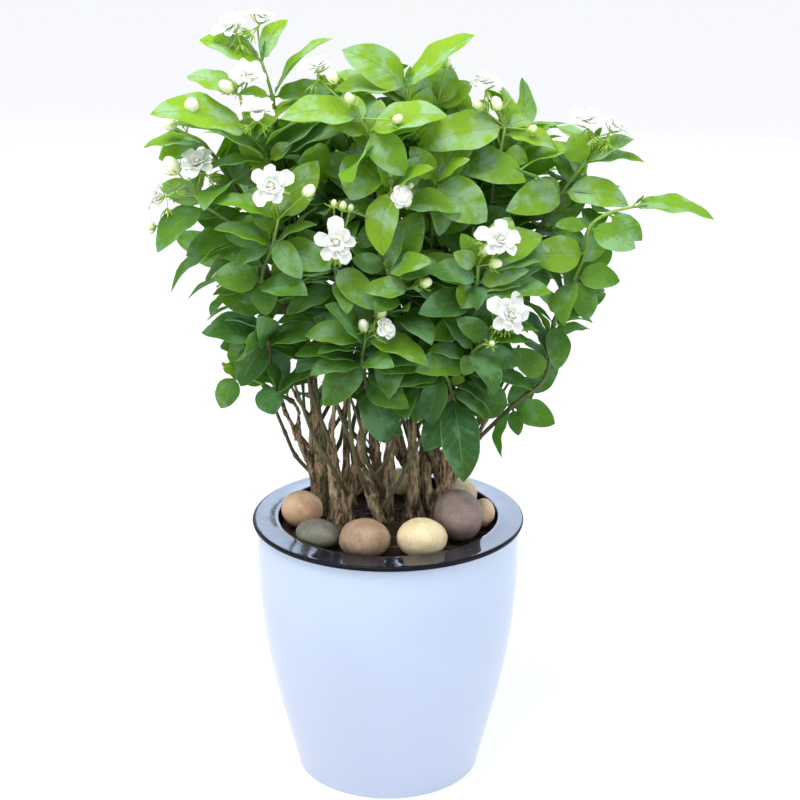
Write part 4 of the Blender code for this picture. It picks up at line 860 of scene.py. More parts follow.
def gnarled(node):
    copy = merged_copy(node)
    melt = copy.modifiers.new("melt", "REMESH")
    melt.mode = "VOXEL"
    melt.voxel_size = VOXEL
    soften = copy.modifiers.new("soften", "SMOOTH")
    soften.iterations = SOFTENING
    mesh = evaluated(copy)
    buried = [corner.co for corner in mesh.vertices if corner.co.z < BURIED_BELOW]
    foot = sum(buried, Vector()) / len(buried)
    turn = Random(node).uniform(0, 2 * pi)
    moved = []
    for corner in mesh.vertices:
        spot = corner.co
        thick = min(1.0, max(THINNEST, 1.0 - (spot.z - THIN_FROM) / THIN_LENGTH))
        knot = noise.noise(Vector((spot.x, spot.y, spot.z * KNOT_STRETCH)) * KNOT_SCALE)
        ridge = noise.noise(Vector((spot.x, spot.y, spot.z * RIDGE_STRETCH)) * RIDGE_SCALE)
        old = min(max((OLD_WOOD_TOP - spot.z) / OLD_WOOD_FADE, 0.0), 1.0) * OLD_WOOD_SWELL
        out = corner.normal * ((knot * KNOT_SIZE + abs(ridge) * RIDGE_SIZE) * thick + old)
        if spot.z < FLARE_TOP:
            away = Vector((spot.x - foot.x, spot.y - foot.y, 0.0))
            angle = atan2(away.y, away.x) + turn
            depth = (FLARE_TOP - spot.z) / (FLARE_TOP - SOIL_MOUND_TOP)
            wave = cos(angle * FLARE_LOBES + noise.noise(spot * 40.0) * 2)
            root = max(0.0, 0.35 + 0.65 * wave)
            out += away.normalized() * (FLARE_REACH * min(depth, FLARE_DEEPEST) ** 2 * root)
        moved.append(spot + out)
    for corner, place in zip(mesh.vertices, moved):
        corner.co = place
    return dressed(finished(node + "_bark", mesh, [bark], smooth=180.0), "bark", node)


trunk_nodes = [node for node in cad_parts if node.startswith("trunk_")]
trunks = [gnarled(node) for node in trunk_nodes]
print("trunks:", [len(trunk.data.polygons) for trunk in trunks], "faces")

# %% [markdown]
# Flakes of lifting bark are one curved strip, set many times on the lower trunks. Each lies
# flat on the bark, runs up the stem, and is a little raised at its ends. Axes to Rotation
# turns a strip so that its own Z follows the surface and its Y follows the stem.

# %% Bark flakes
FLAKE_SEED = 9
FLAKES_TOP = 0.335
FLAKE_LENGTHS = (0.004, 0.012)
FLAKE_THICKNESS = 0.0004

flake_finish = Finish("lifted bark flake", specular_ior_level=0.2, roughness=0.85)
flake_grain = flake_finish.noise(500.0, 3.0, stretch=(1.0, 1.0, 0.2))
flake_colours = [(0.25, (0.10, 0.055, 0.030)), (0.5, (0.30, 0.205, 0.115)), (0.75, (0.48, 0.37, 0.24))]
flake_finish.put("Base Color", flake_finish.ramp(flake_grain, flake_colours))

flakes = Nursery("bark flakes", density=6500.0, lift=0.08, seed=FLAKE_SEED)
low_trunk = flakes.node("GeometryNodeInputPosition").part("Z").maths("LESS_THAN", FLAKES_TOP)
spots = flakes.scattered(low_trunk)
surface = Wire(flakes, spots.socket.node.outputs["Normal"])
strip_inputs = {"Size X": 0.22, "Size Y": 1.0, "Vertices X": 3, "Vertices Y": 5}
strip = flakes.node("GeometryNodeMeshGrid", {}, strip_inputs)
where = flakes.node("GeometryNodeInputPosition")
along = where.part("Y")
raised = along * along * flakes.size("lift") * 4.0 - where.part("X") * where.part("X") * 1.5
lift = flakes.node("ShaderNodeCombineXYZ", {}, {"Z": raised})
strip = flakes.node("GeometryNodeSetPosition", {}, {"Geometry": strip, "Offset": lift})
axes = dict(primary_axis="Z", secondary_axis="Y")
tilt = flakes.random((-0.35, -0.35, 0.8), (0.35, 0.35, 1.0))
inputs = {"Primary Axis": surface, "Secondary Axis": tilt}
turn = flakes.node("FunctionNodeAxesToRotation", axes, inputs)
flakes.set_on(spots, strip, turn, flakes.random(*FLAKE_LENGTHS))


def flaked(trunk):
    bed = shown("flake_bed", trunk.data.copy())
    flakes.run_on(bed, flake_finish)
    thick = bed.modifiers.new("thick", "SOLIDIFY")
    thick.thickness = FLAKE_THICKNESS
    thick.offset = 0.0
    node = trunk.name.replace("_bark", "")
    return dressed(finished(node + "_flakes", evaluated(bed), [flake_finish]), "bark", node)


flaked_trunks = [flaked(trunk) for trunk in trunks]
print("flakes:", [len(piece.data.polygons) for piece in flaked_trunks], "faces")

# %% [markdown]
# ## The shrub's layout
#
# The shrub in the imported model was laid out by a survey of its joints, leaf tips and flowers,
# as seen from the front, and each leaf was then shifted or rolled until it crossed nothing.
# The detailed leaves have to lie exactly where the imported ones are. So the survey is repeated
# here, each stem and leaf is tried in the same few positions, and the one that meets the
# packed corners is kept.

# %% Surveyed stems, leaves and buds
# Leafy stems. stem: joints x, z, y in cm. leaves: joint, tip x, tip z, how far the tip comes
# forward, and the width that shows from the front. buds: joint, x, z, forward and diameter.
# twigs: joint and further joints x, z, y; their joints are counted on from the stem's.
SPRAYS = {
    "spray_slender_left": dict(
        stem=((-11.2, 43.0, -3.5), (-11.6, 49.0, -5.0), (-10.6, 52.2, -6.5), (-10.0, 54.8, -7.0)),
        leaves=((0, -17.3, 44.2, 1.0, 2.3), (0, -13.9, 38.8, 1.5, 2.8), (0, -8.7, 42.7, 0.5, 0.9),
                (0, -11.9, 45.4, 1.0, 0.9), (1, -16.1, 49.4, 1.0, 2.7), (1, -11.3, 45.7, 2.0, 2.2),
                (2, -5.2, 50.2, 0.5, 2.8), (2, -14.2, 50.5, 1.0, 1.3), (2, -15.8, 54.1, 1.0, 1.3),
                (3, -6.3, 60.1, 1.0, 2.8), (3, -15.8, 56.6, 1.0, 1.4)),
        buds=((3, -7.2, 57.4, 1.2, 1.1),),
    ),
    "spray_slender_right": dict(
        stem=((8.6, 33.6, -1.0), (11.7, 36.8, -2.5), (14.8, 39.8, -3.0), (15.4, 45.0, -3.5),
              (17.2, 49.3, -3.5), (18.1, 51.6, -3.5), (18.4, 54.0, -3.5), (20.0, 55.3, -3.5),
              (22.2, 55.9, -3.5)),
        leaves=((1, 6.0, 38.2, 0.5, 3.4), (1, 15.8, 35.1, 1.5, 2.5), (1, 10.6, 31.7, 1.0, 1.0),
                (1, 12.4, 33.9, 1.5, 1.4), (2, 11.5, 42.4, 1.0, 2.3), (3, 15.9, 40.4, 1.2, 2.2),
                (4, 21.4, 49.0, 0.5, 2.3), (4, 18.6, 45.2, 1.0, 2.4), (4, 16.2, 44.8, 1.6, 1.8),
                (5, 12.9, 51.5, 1.5, 3.2), (6, 22.7, 52.1, 1.5, 2.4), (6, 15.3, 54.3, 0.5, 1.2),
                (7, 23.3, 52.8, 0.5, 1.8), (8, 29.8, 55.1, 0.0, 1.5)),
        buds=(),
    ),
    "spray_low_left": dict(
        stem=((-9.2, 37.4, 0.0), (-10.4, 38.1, -1.5), (-11.9, 39.1, -2.5), (-14.2, 40.0, -3.0)),
        leaves=((2, -10.7, 36.0, 1.0, 2.6), (3, -15.8, 36.6, 1.0, 2.2), (1, -11.3, 40.8, 0.4, 0.9)),
        buds=(),
    ),
    "spray_low_middle": dict(
        stem=((-2.0, 38.8, -3.5), (-2.4, 41.3, -5.5), (-2.1, 43.4, -6.5)),
        leaves=((2, -7.7, 43.9, 1.0, 2.1), (2, 3.8, 41.0, 1.8, 1.9), (1, 4.6, 41.3, 0.0, 3.0),
                (1, -5.9, 36.9, 1.5, 3.1), (0, -0.2, 33.1, 1.5, 3.7)),
        buds=((2, -0.4, 44.3, 1.6, 1.9), (2, -2.3, 44.7, 0.8, 1.1), (2, -0.6, 45.8, 0.6, 0.9)),
    ),
    "spray_low_right": dict(
        stem=((6.2, 37.4, -4.0), (5.6, 39.4, -5.0), (4.9, 40.6, -5.6)),
        leaves=((0, 7.4, 29.2, 1.8, 3.6), (0, 3.4, 32.3, 1.0, 2.7), (1, 1.2, 39.0, 1.0, 1.5),
                (1, 7.2, 39.4, 1.0, 0.9)),
        buds=(),
    ),
    "spray_right_front_low": dict(
        stem=((7.0, 40.0, -4.0), (8.0, 42.2, -6.0), (9.5, 43.3, -7.0)),
        leaves=((1, 5.1, 45.9, 0.3, 1.8), (1, 12.3, 40.9, 1.0, 2.1), (1, 7.1, 39.9, 0.8, 1.6),
                (2, 6.4, 45.3, 1.0, 1.9), (2, 12.8, 43.2, 0.8, 0.8)),
        buds=((2, 9.7, 43.0, 1.2, 0.6),),
    ),
    "spray_right_front": dict(
        stem=((6.4, 43.5, -3.0), (7.7, 46.0, -5.0), (8.2, 48.7, -6.5), (8.3, 50.4, -7.0)),
        leaves=((2, 12.9, 50.1, 1.0, 1.9), (2, 5.3, 50.3, 1.2, 1.4), (3, 6.7, 53.4, 0.3, 1.6),
                (3, 6.1, 51.6, 1.0, 1.6), (2, 6.8, 46.4, 1.5, 2.4), (2, 8.2, 46.3, 1.6, 0.9),
                (1, 3.1, 48.2, 0.5, 2.0), (1, 10.3, 46.9, 0.5, 1.0)),
        buds=((3, 8.8, 51.8, 0.6, 0.9), (3, 9.9, 50.6, 1.0, 1.0)),
    ),
    "spray_centre": dict(
        stem=((0.8, 45.5, -3.5), (0.6, 48.0, -5.5), (-0.1, 50.1, -6.5)),
        twigs=((1, (2.2, 48.3, -7.0)),),
        leaves=((2, 4.7, 50.5, 1.0, 2.2), (2, -3.3, 51.1, 0.8, 1.7), (3, -2.3, 48.2, 1.0, 1.8),
                (0, 1.0, 42.6, 0.6, 2.6)),
        buds=((3, 3.5, 48.8, 0.8, 1.0),),
    ),
    "spray_centre_left": dict(
        stem=((-3.6, 45.0, -3.0), (-4.6, 48.2, -5.0), (-4.9, 50.3, -6.0)),
        leaves=((2, -1.3, 46.3, 1.8, 2.5), (2, -8.4, 53.8, 0.3, 2.0), (1, -9.6, 46.0, 0.8, 1.8),
                (0, -1.9, 46.0, -0.5, 1.8)),
        buds=((2, -4.9, 56.2, 1.2, 0.65), (2, -4.1, 56.0, 1.4, 0.75), (2, -3.4, 55.8, 1.3, 0.65)),
    ),
    "spray_middle": dict(
        stem=((0.4, 50.5, -3.0), (0.4, 54.5, -5.0), (0.3, 57.7, -6.5)),
        leaves=((2, -0.6, 51.4, 2.0, 2.8), (1, -3.0, 52.2, 1.0, 2.0), (1, 3.2, 52.0, 0.5, 1.8),
                (0, -3.6, 54.6, 0.6, 1.7)),
        buds=((2, 1.1, 56.8, 1.6, 1.9), (2, 1.9, 57.8, 0.4, 0.7), (2, 0.3, 59.0, 0.5, 0.7)),
    ),
    "spray_middle_right": dict(
        stem=((4.0, 49.0, -1.5), (4.0, 53.5, -3.0), (4.2, 58.2, -4.5)),
        leaves=((2, 9.0, 54.6, 2.0, 3.8), (2, 4.8, 53.2, 1.5, 2.1), (2, 2.0, 61.4, 0.5, 2.0),
                (1, 8.6, 50.4, 0.5, 2.0), (1, 0.8, 56.0, 0.4, 1.6)),
        buds=(),
    ),
    "spray_top_middle": dict(
        stem=((-1.2, 56.0, -2.5), (-1.5, 60.9, -5.0), (-1.8, 62.8, -6.0), (-2.5, 64.0, -6.3)),
        leaves=((1, -3.4, 56.6, 2.5, 3.8), (2, 1.5, 58.8, 2.0, 2.9), (2, 5.3, 64.4, 1.0, 2.3),
                (3, -9.6, 64.2, 1.2, 2.4), (0, -5.6, 59.2, 0.4, 1.8)),
        buds=((3, -3.4, 65.7, 0.8, 1.0), (3, 0.8, 63.9, 1.5, 0.9), (3, -5.0, 67.7, 0.3, 1.1)),
    ),
    "spray_top_left": dict(
        stem=((-7.4, 53.5, -0.5), (-9.6, 60.8, -1.5), (-10.3, 65.8, -2.0), (-11.2, 69.0, -2.2)),
        leaves=((2, -5.2, 71.3, 1.0, 2.2), (2, -5.0, 66.5, -0.5, 1.7), (3, -16.6, 71.1, 0.5, 2.0),
                (3, -9.0, 72.7, 0.8, 1.5), (1, -5.3, 62.5, 0.0, 2.0), (2, -13.3, 66.3, 0.4, 0.9),
                (0, -3.2, 56.6, -0.5, 2.0)),
        buds=(),
    ),
    "spray_upper_left": dict(
        stem=((-8.8, 52.5, -2.0), (-10.8, 60.1, -4.0), (-12.5, 62.7, -4.6), (-13.2, 66.0, -4.6)),
        leaves=((1, -19.3, 63.9, 1.5, 1.9), (1, -8.7, 61.7, 1.0, 1.1), (2, -21.1, 64.7, 0.5, 1.6),
                (3, -17.9, 67.9, 0.8, 1.7), (0, -14.4, 54.6, 0.0, 1.8)),
        buds=((3, -14.4, 66.8, 0.6, 1.2),),
    ),
    "spray_far_left": dict(
        stem=((-11.0, 52.0, -1.0), (-14.0, 58.0, -3.0), (-16.5, 61.6, -4.0), (-18.1, 62.6, -4.2)),
        leaves=((2, -22.0, 61.6, 0.3, 1.1), (2, -20.8, 60.4, 1.4, 1.9), (1, -16.4, 55.4, 0.6, 1.2),
                (1, -10.0, 62.3, 0.0, 1.5)),
        buds=((3, -17.6, 65.0, 2.1, 1.5), (3, -19.7, 63.5, 0.4, 1.3)),
    ),
    "spray_left": dict(
        stem=((-10.4, 48.0, -2.0), (-13.2, 53.4, -4.0), (-16.6, 56.0, -5.0), (-17.5, 57.0, -5.2)),
        leaves=((2, -21.3, 51.8, 1.5, 2.3), (2, -20.5, 58.2, 0.3, 1.8), (3, -16.5, 59.8, 0.2, 1.1),
                (1, -18.6, 51.5, 0.8, 2.2), (1, -20.3, 48.3, 0.0, 1.2)),
        buds=((2, -19.5, 59.7, 0.4, 1.5), (2, -21.6, 54.0, 0.2, 0.7)),
    ),
    "spray_top_right": dict(
        stem=((2.2, 57.0, -0.5), (2.0, 62.0, -1.5), (1.7, 66.6, -2.0)),
        leaves=((2, -4.0, 70.1, 0.5, 3.2), (2, 7.4, 71.6, 0.3, 1.9), (2, -4.9, 66.7, 0.0, 1.7),
                (1, 6.2, 61.6, 1.0, 1.7), (0, 7.4, 58.4, -0.5, 2.2)),
        buds=(),
    ),
    "spray_upper_right": dict(
        stem=((6.6, 53.0, 0.0), (5.6, 60.6, -1.2), (4.3, 64.7, -1.2)),
        leaves=((2, 4.6, 69.2, -1.5, 4.2), (1, 12.5, 58.4, 3.0, 3.0), (2, 7.5, 67.2, -1.0, 2.0),
                (0, 11.2, 55.4, 0.6, 2.2)),
        buds=((2, 5.9, 63.8, 0.8, 0.9), (2, 5.2, 68.8, 0.8, 0.8)),
    ),
    "spray_right_high": dict(
        stem=((9.0, 52.0, 0.0), (9.6, 58.5, -1.6), (10.1, 60.9, -2.2), (10.5, 63.2, -2.4)),
        leaves=((3, 2.6, 61.6, 1.6, 1.9), (3, 12.1, 62.7, 0.4, 1.2), (2, 12.6, 60.1, 0.8, 1.8),
                (3, 13.0, 63.9, -0.2, 1.1), (1, 17.4, 61.6, 0.0, 1.5), (1, 15.4, 56.4, 0.4, 1.6)),
        buds=((3, 8.1, 65.1, 0.5, 0.9), (3, 9.7, 65.3, 0.4, 1.1), (3, 12.9, 63.0, 0.6, 0.8)),
    ),
    "spray_far_right": dict(
        stem=((11.5, 50.0, 0.5), (15.8, 57.3, -1.5), (17.6, 59.8, -2.0), (18.3, 61.8, -2.0)),
        leaves=((2, 22.0, 62.3, 0.0, 1.6), (2, 23.1, 60.3, 0.0, 1.0), (2, 16.6, 62.6, 0.3, 2.2),
                (1, 21.9, 56.2, 1.2, 2.6), (1, 10.9, 55.6, 1.5, 2.9), (1, 13.8, 58.6, 0.0, 1.2)),
        buds=(),
    ),
}

# %% Surveyed flowers and the rule-made back stems
# Open flowers: leafy stem and joint they hang on, x, z, how far forward, the way they face,
# and the radius in cm
BLOOMS = {
    "bloom_top_left": ("spray_top_left", 3, -13.8, 72.2, 0.5, (-0.5, -0.4, 0.9), 1.50),
    "bloom_top_left_tip": ("spray_top_left", 3, -11.2, 73.0, -0.6, (0.2, -0.1, 1.0), 1.30),
    "bloom_upper_left": ("spray_upper_left", 3, -12.4, 68.0, 0.2, (0.2, -0.5, 0.9), 1.40),
    "bloom_left_side": ("spray_upper_left", 2, -11.8, 64.7, 2.4, (0.1, -0.5, 1.0), 1.70),
    "bloom_left": ("spray_left", 3, -17.2, 59.9, 0.8, (-0.1, -0.5, 0.9), 1.50),
    "bloom_far_left": ("spray_left", 3, -21.0, 57.0, 0.2, (-1.0, -0.3, 0.2), 1.35),
    "bloom_double": ("spray_slender_left", 3, -10.6, 57.9, 2.0, (0.0, -1.0, 0.35), 1.75),
    "bloom_open": ("spray_centre_left", 2, -4.8, 52.6, 2.6, (0.1, -1.0, 0.3), 1.75),
    "bloom_behind": ("spray_top_middle", 3, -6.3, 68.7, -1.5, (-0.2, -0.3, 1.0), 1.30),
    "bloom_right_side": ("spray_right_high", 3, 8.7, 67.3, -0.4, (-0.1, -0.3, 1.0), 1.30),
    "bloom_right_front": ("spray_right_front", 3, 10.2, 52.9, 1.6, (0.3, -1.0, 0.5), 1.70),
    "bloom_right_low": ("spray_right_front_low", 2, 11.3, 45.7, 2.2, (0.4, -1.0, 0.35), 1.85),
    "bloom_far_right": ("spray_far_right", 3, 17.8, 63.9, 0.3, (-0.2, -0.4, 1.0), 1.45),
    "bloom_far_right_tip": ("spray_far_right", 3, 20.4, 63.3, 0.3, (0.6, -0.2, 0.8), 1.35),
}

# Leafy branches of the sides and the back, made by a rule: the compass angle (90 is straight
# back), and the height and the reach of their tip in cm
BACK_SPRAYS = {
    "spray_back_right": (24, 60, 12.5),
    "spray_back_middle_right": (58, 62, 7.5),
    "spray_back_middle": (88, 57, 12.5),
    "spray_back_middle_left": (124, 61, 7.0),
    "spray_back_left": (156, 59, 12.5),
}
print("survey:", len(SPRAYS), "stems,", len(BLOOMS), "flowers,", len(BACK_SPRAYS), "back stems")

# %% Survey to space
SURVEY_EYE = Vector((0.0, -1.6, 0.9))
CROWN_CENTRE = Vector((0.0, 0.01, 0.50))
BACK_MIDDLE = Vector((0.0, 0.02, 0.0))
BACK_JOINTS = 5
BACK_START = (4.5, 42.0)
BACK_SAG = 1.4
BACK_TWIGS = ((1, 1), (2, -1))
BACK_TWIG = 5.0
BACK_TWIG_LEAN = (0.75, 0.25)
BACK_TWIG_END = 0.55
STEM_SLIDES = (0.0, 0.5, -0.5, 1.0, -1.0, 1.5, -1.5, 2.2, -2.2)
STEM_RADII = (0.0021, 0.0013)
STALK_RADIUS = 0.0008
FIRST_LEAF = 0.0025


def along_sight(x, z, y):
    """A surveyed point in metres: seen at x, z on the plane through the axis, at the depth y."""
    reach = (y * CM - SURVEY_EYE.y) / -SURVEY_EYE.y
    height = SURVEY_EYE.z + (z * CM - SURVEY_EYE.z) * reach
    return Vector((x * CM * reach, y * CM, height))


def packed_corners(node):
    """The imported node's corners, ready to be searched by nearness."""
    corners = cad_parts[node].data.vertices
    tree = KDTree(len(corners))
    for i, corner in enumerate(corners):
        tree.insert(corner.co, i)
    tree.balance()
    return tree


def misfit(marks, tree):
    """How far the worst of some marks is from any packed corner."""
    return max(tree.find(mark)[2] for mark in marks)


class Spray:
    """One leafy stem: its joints and twigs, and what grows on them."""

    def __init__(self, name, stem, twigs):
        self.name = name
        self.stem = stem
        self.twigs = twigs
        up_the_stem = (stem[1] - stem[0]).normalized() * FIRST_LEAF
        self.joints = [stem[0] + up_the_stem, *stem[1:]]
        self.joints += [point for twig in twigs for point in twig[1:]]
        self.packed = packed_corners(name)
        self.leaves = []
        self.stalks = []
        self.buds = []


def back_spray(name, plan, slide):
    """A stem that leans out at its compass angle, with two side twigs."""
    angle, top, reach = plan
    out = Vector((cos(radians(angle)), sin(radians(angle)), 0.0))
    across = UP.cross(out)
    first = BACK_MIDDLE + (out * BACK_START[0] + UP * BACK_START[1]) * CM
    way = (out * (reach - BACK_START[0] + slide) + UP * (top - BACK_START[1])) * CM
    stem = []
    for i in range(BACK_JOINTS):
        share = i / (BACK_JOINTS - 1)
        stem.append(first + way * share + out * (sin(pi * share) * BACK_SAG * CM))
    twigs = []
    for joint, hand in BACK_TWIGS:
        start = stem[joint]
        sideways, upwards = BACK_TWIG_LEAN
        lean = (out + across * (sideways * hand) + UP * upwards).normalized()
        end = start + lean * BACK_TWIG * CM
        last = (lean + UP * 0.5).normalized() * (BACK_TWIG * BACK_TWIG_END * CM)
        twigs.append((start, end, end + last))
    return Spray(name, stem, twigs)


print("rules for stems ready")

# %% [markdown]
# A leaf is known by four things: the joint it grows from, its tip, the way its upper side
# faces, and its width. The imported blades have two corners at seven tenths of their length,
# one on each edge. With the tip, these three marks tell one position from another.

# %% Leaves of the survey and of the rules
LEAF_WIDTH_RATIO = 0.50
LEAF_ARCH = 0.07
LEAF_FOLD = 0.22
LEAF_LEAN_OUT = 0.55
SEEN_MARGIN = 1.04
MOST_FACE_ON = 0.97
PETIOLE = 0.005
EDGE_MARK = 0.70
LEAF_MATCH = 0.0004
BACK_LEAF_LEAN = (0.8, 0.45, 0.5, -0.1)
BACK_LEAF_LENGTHS = (5.4, 7.4)
INNER_JOINTS = 2
SEED = 11
SURVEYED_TURNS = [
    (slide, roll, shrink)
    for shrink in (1.0, 0.9, 0.78)
    for slide in (0.0, 0.6, -0.6, 1.3, -1.3, 2.2, -2.2, -3.4, -4.6)
    for roll in (0, 14, -14, 30, -30)
]
FREE_TURNS = [(0.0, roll, shrink) for shrink in (1.0, 0.85) for roll in (0, 20, -20, 45, -45)]


def leaf_outline(share):
    """Half width along a jasmine leaf's blade, 1 at its widest."""
    return (share ** 0.55) * ((1.0 - share) ** 0.75) / 0.4125 if 0.0 < share < 1.0 else 0.0


def blade_normal(base, tip, seen_share):
    """The blade's upper side, rolled until the front shows seen_share of its width."""
    chord = (tip - base).normalized()
    to_eye = (SURVEY_EYE - base).normalized()
    facing = to_eye - chord * to_eye.dot(chord)
    most = facing.length
    facing.normalize()
    side = chord.cross(facing)
    cosine = min(seen_share / most, 1.0)
    sine = sqrt(1.0 - cosine * cosine)
    return max((facing * cosine + side * s for s in (sine, -sine)), key=lambda way: way.z)


def outward_normal(base, tip):
    """The upper side of a leaf that follows a rule: up, and away from the crown's middle."""
    chord = (tip - base).normalized()
    away = tip - CROWN_CENTRE
    away.z = 0.0
    lean = UP + away.normalized() * LEAF_LEAN_OUT
    return (lean - chord * lean.dot(chord)).normalized()


def blade_ring(leaf, station):
    """Left edge, middle and right edge of a blade at a station along it."""
    chord = leaf["tip"] - leaf["base"]
    length = chord.length
    stalk = PETIOLE / length
    share = stalk + (1 - stalk) * station
    half = leaf["width"] / 2 * leaf_outline(station)
    arch = LEAF_ARCH * length * 4 * share * (1 - share)
    middle = leaf["base"] + chord * share + leaf["normal"] * arch
    wide = (chord / length).cross(leaf["normal"]) * half
    lift = leaf["normal"] * (half * LEAF_FOLD)
    return middle - wide + lift, middle, middle + wide + lift


def turned_leaf(base, tip, seen, turn):
    slide, roll, shrink = turn
    there = tip + (tip - SURVEY_EYE).normalized() * (slide * CM)
    there = base + (there - base) * shrink
    length = (there - base).length
    width = max(length * LEAF_WIDTH_RATIO, seen * shrink * SEEN_MARGIN)
    if seen:
        normal = blade_normal(base, there, min(seen * shrink / width, MOST_FACE_ON))
    else:
        normal = outward_normal(base, there)
    normal = Matrix.Rotation(radians(roll), 3, (there - base).normalized()) @ normal
    return dict(base=base, tip=there, normal=normal, width=width)


def place_leaf(spray, base, tip, seen, turns, age):
    """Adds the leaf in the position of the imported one. A leaf that was left out stays out."""
    for turn in turns:
        leaf = turned_leaf(base, tip, seen, turn)
        left, _, right = blade_ring(leaf, EDGE_MARK)
        if misfit((leaf["tip"], left, right), spray.packed) < LEAF_MATCH:
            spray.leaves.append(dict(leaf, age=age))
            return


def blended(ways, shares):
    """The way that several ways make together, each by its share."""
    return sum((way * share for way, share in zip(ways, shares)), Vector()).normalized()


def leafed_spray(name, plan, slide):
    """A surveyed stem at one depth, with the leaves that meet packed ones there."""
    stem = [along_sight(x, z, y + slide) for x, z, y in plan["stem"]]
    twigs = []
    for first, *rest in plan.get("twigs", ()):
        twigs.append((stem[first], *(along_sight(x, z, y + slide) for x, z, y in rest)))
    spray = Spray(name, stem, twigs)
    for joint, x, z, forward, seen in plan["leaves"]:
        base = spray.joints[joint]
        tip = along_sight(x, z, base.y / CM - forward)
        age = 1.0 - joint / (len(spray.joints) - 1)
        place_leaf(spray, base, tip, seen * CM, SURVEYED_TURNS, age)
    return spray


def best_tried(make, name, plan):
    """The stem at the depth where most leaves, and then the joints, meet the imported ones."""
    tries = [make(name, plan, slide) for slide in STEM_SLIDES]
    return max(tries, key=lambda spray: (len(spray.leaves), -misfit(spray.stem[:-1], spray.packed)))


sprays = {name: best_tried(leafed_spray, name, plan) for name, plan in SPRAYS.items()}
sprays.update({name: best_tried(back_spray, name, plan) for name, plan in BACK_SPRAYS.items()})
worst = max(misfit(spray.stem[:-1], spray.packed) for spray in sprays.values())
print("leafy stems:", len(sprays), "worst joint", round(worst / MM, 2), "mm from the packed corners")
surveyed_leaves = sum(len(spray.leaves) for spray in sprays.values())
print("surveyed leaves:", surveyed_leaves)

# %% Leaves at the back and inside
draw = Random(SEED)


def free_leaf(spray, base, way, age):
    length = draw.uniform(*BACK_LEAF_LENGTHS) * CM
    place_leaf(spray, base, base + way * length, 0.0, FREE_TURNS, age)


for name in BACK_SPRAYS:
    spray = sprays[name]
    for line in [spray.stem, *spray.twigs]:
        for i in range(1, len(line)):
            along = (line[i] - line[i - 1]).normalized()
            side = along.cross(UP).normalized()
            over = side.cross(along)
            age = 1.0 - i / (len(line) - 1)
            outward = (line[i] - CROWN_CENTRE).normalized()
            pair = side if i % 2 else over
            ways = [blended((out, along, outward, UP), BACK_LEAF_LEAN) for out in (pair, -pair)]
            if i == len(line) - 1:
                ways.append(along)
            for way in ways:
                free_leaf(spray, line[i], way, age)
for name in SPRAYS:
    spray = sprays[name]
    for joint in range(INNER_JOINTS):
        base = spray.joints[joint]
        along = (spray.stem[min(joint + 1, len(spray.stem) - 1)] - spray.stem[0]).normalized()
        side = along.orthogonal().normalized()
        start = draw.uniform(0.0, 360.0)
        for turn in (0, 180):
            out = Matrix.Rotation(radians(start + turn), 3, along) @ side
            free_leaf(spray, base, (out + along * 0.3).normalized(), 1.0)
print("all packed leaves:", sum(len(spray.leaves) for spray in sprays.values()))

# %% [markdown]
# Flowers and buds hang on thin stalks. Each open flower faces its own way on a short tube, and
# its stalk comes up to the tube from behind. The places follow from the joints, as in the
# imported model.

# %% Flowers, buds and their stalks
BLOOM_TUBE = 0.008
STALK_STRAIGHT = 0.006
STALK_GAP = 0.0003

blooms = {}
for name, (owner, joint, x, z, forward, way, radius) in BLOOMS.items():
    start = sprays[owner].joints[joint]
    facing = Vector(way).normalized()
    centre = along_sight(x, z, start.y / CM - forward)
    foot = centre - facing * BLOOM_TUBE
    stalk_end = foot - facing * STALK_GAP
    bend = stalk_end - facing * min(STALK_STRAIGHT, (stalk_end - start).length * 0.4)
    sprays[owner].stalks.append([start, bend, stalk_end])
    blooms[name] = dict(foot=foot, facing=facing, radius=radius * CM)
for name, plan in SPRAYS.items():
    spray = sprays[name]
    for joint, x, z, forward, diameter in plan["buds"]:
        start = spray.joints[joint]
        centre = along_sight(x, z, start.y / CM - forward)
        radius = diameter * CM / 2
        way = (centre - start).normalized()
        if way.z < 0.2:
            way = (way + UP * 0.6).normalized()
        foot = centre - way * radius * 0.9
        spray.stalks.append([start, foot + way * radius * 0.5])
        spray.buds.append(dict(centre=centre, way=way, radius=radius))
print("flowers:", len(blooms), "buds:", sum(len(spray.buds) for spray in sprays.values()))

# %% [markdown]
# ## One blade for leaves, petals and lobes
#
# A leaf, a petal and a calyx lobe are all thin blades: they leave a base, widen by some curve,
# narrow to a tip, fold along the middle, arch, and ripple at the edge. So one Geometry Nodes
# tree grows them all. A mesh of single points holds, for each blade, where its tip is, which
# way its upper side faces, its width and a few traits. The tree sets one small grid on every
# point, realizes it, and moves each corner to its place by the formula below. Solidify then
# gives the blade its thickness, with the second finish on its underside.

# %% The blade tree
CURL_FROM, CURL_RISE = 0.55, 4.9

blades = Nursery(
    "grow blades", rows=14, columns=5, stalk=0.005, stalk_width=0.0011, swell=0.55, taper=0.75,
    fold=0.22, fold_curve=1.3, ripple=0.09, ripples=2.2, curl=0.05, tip_width=0.0001,
)


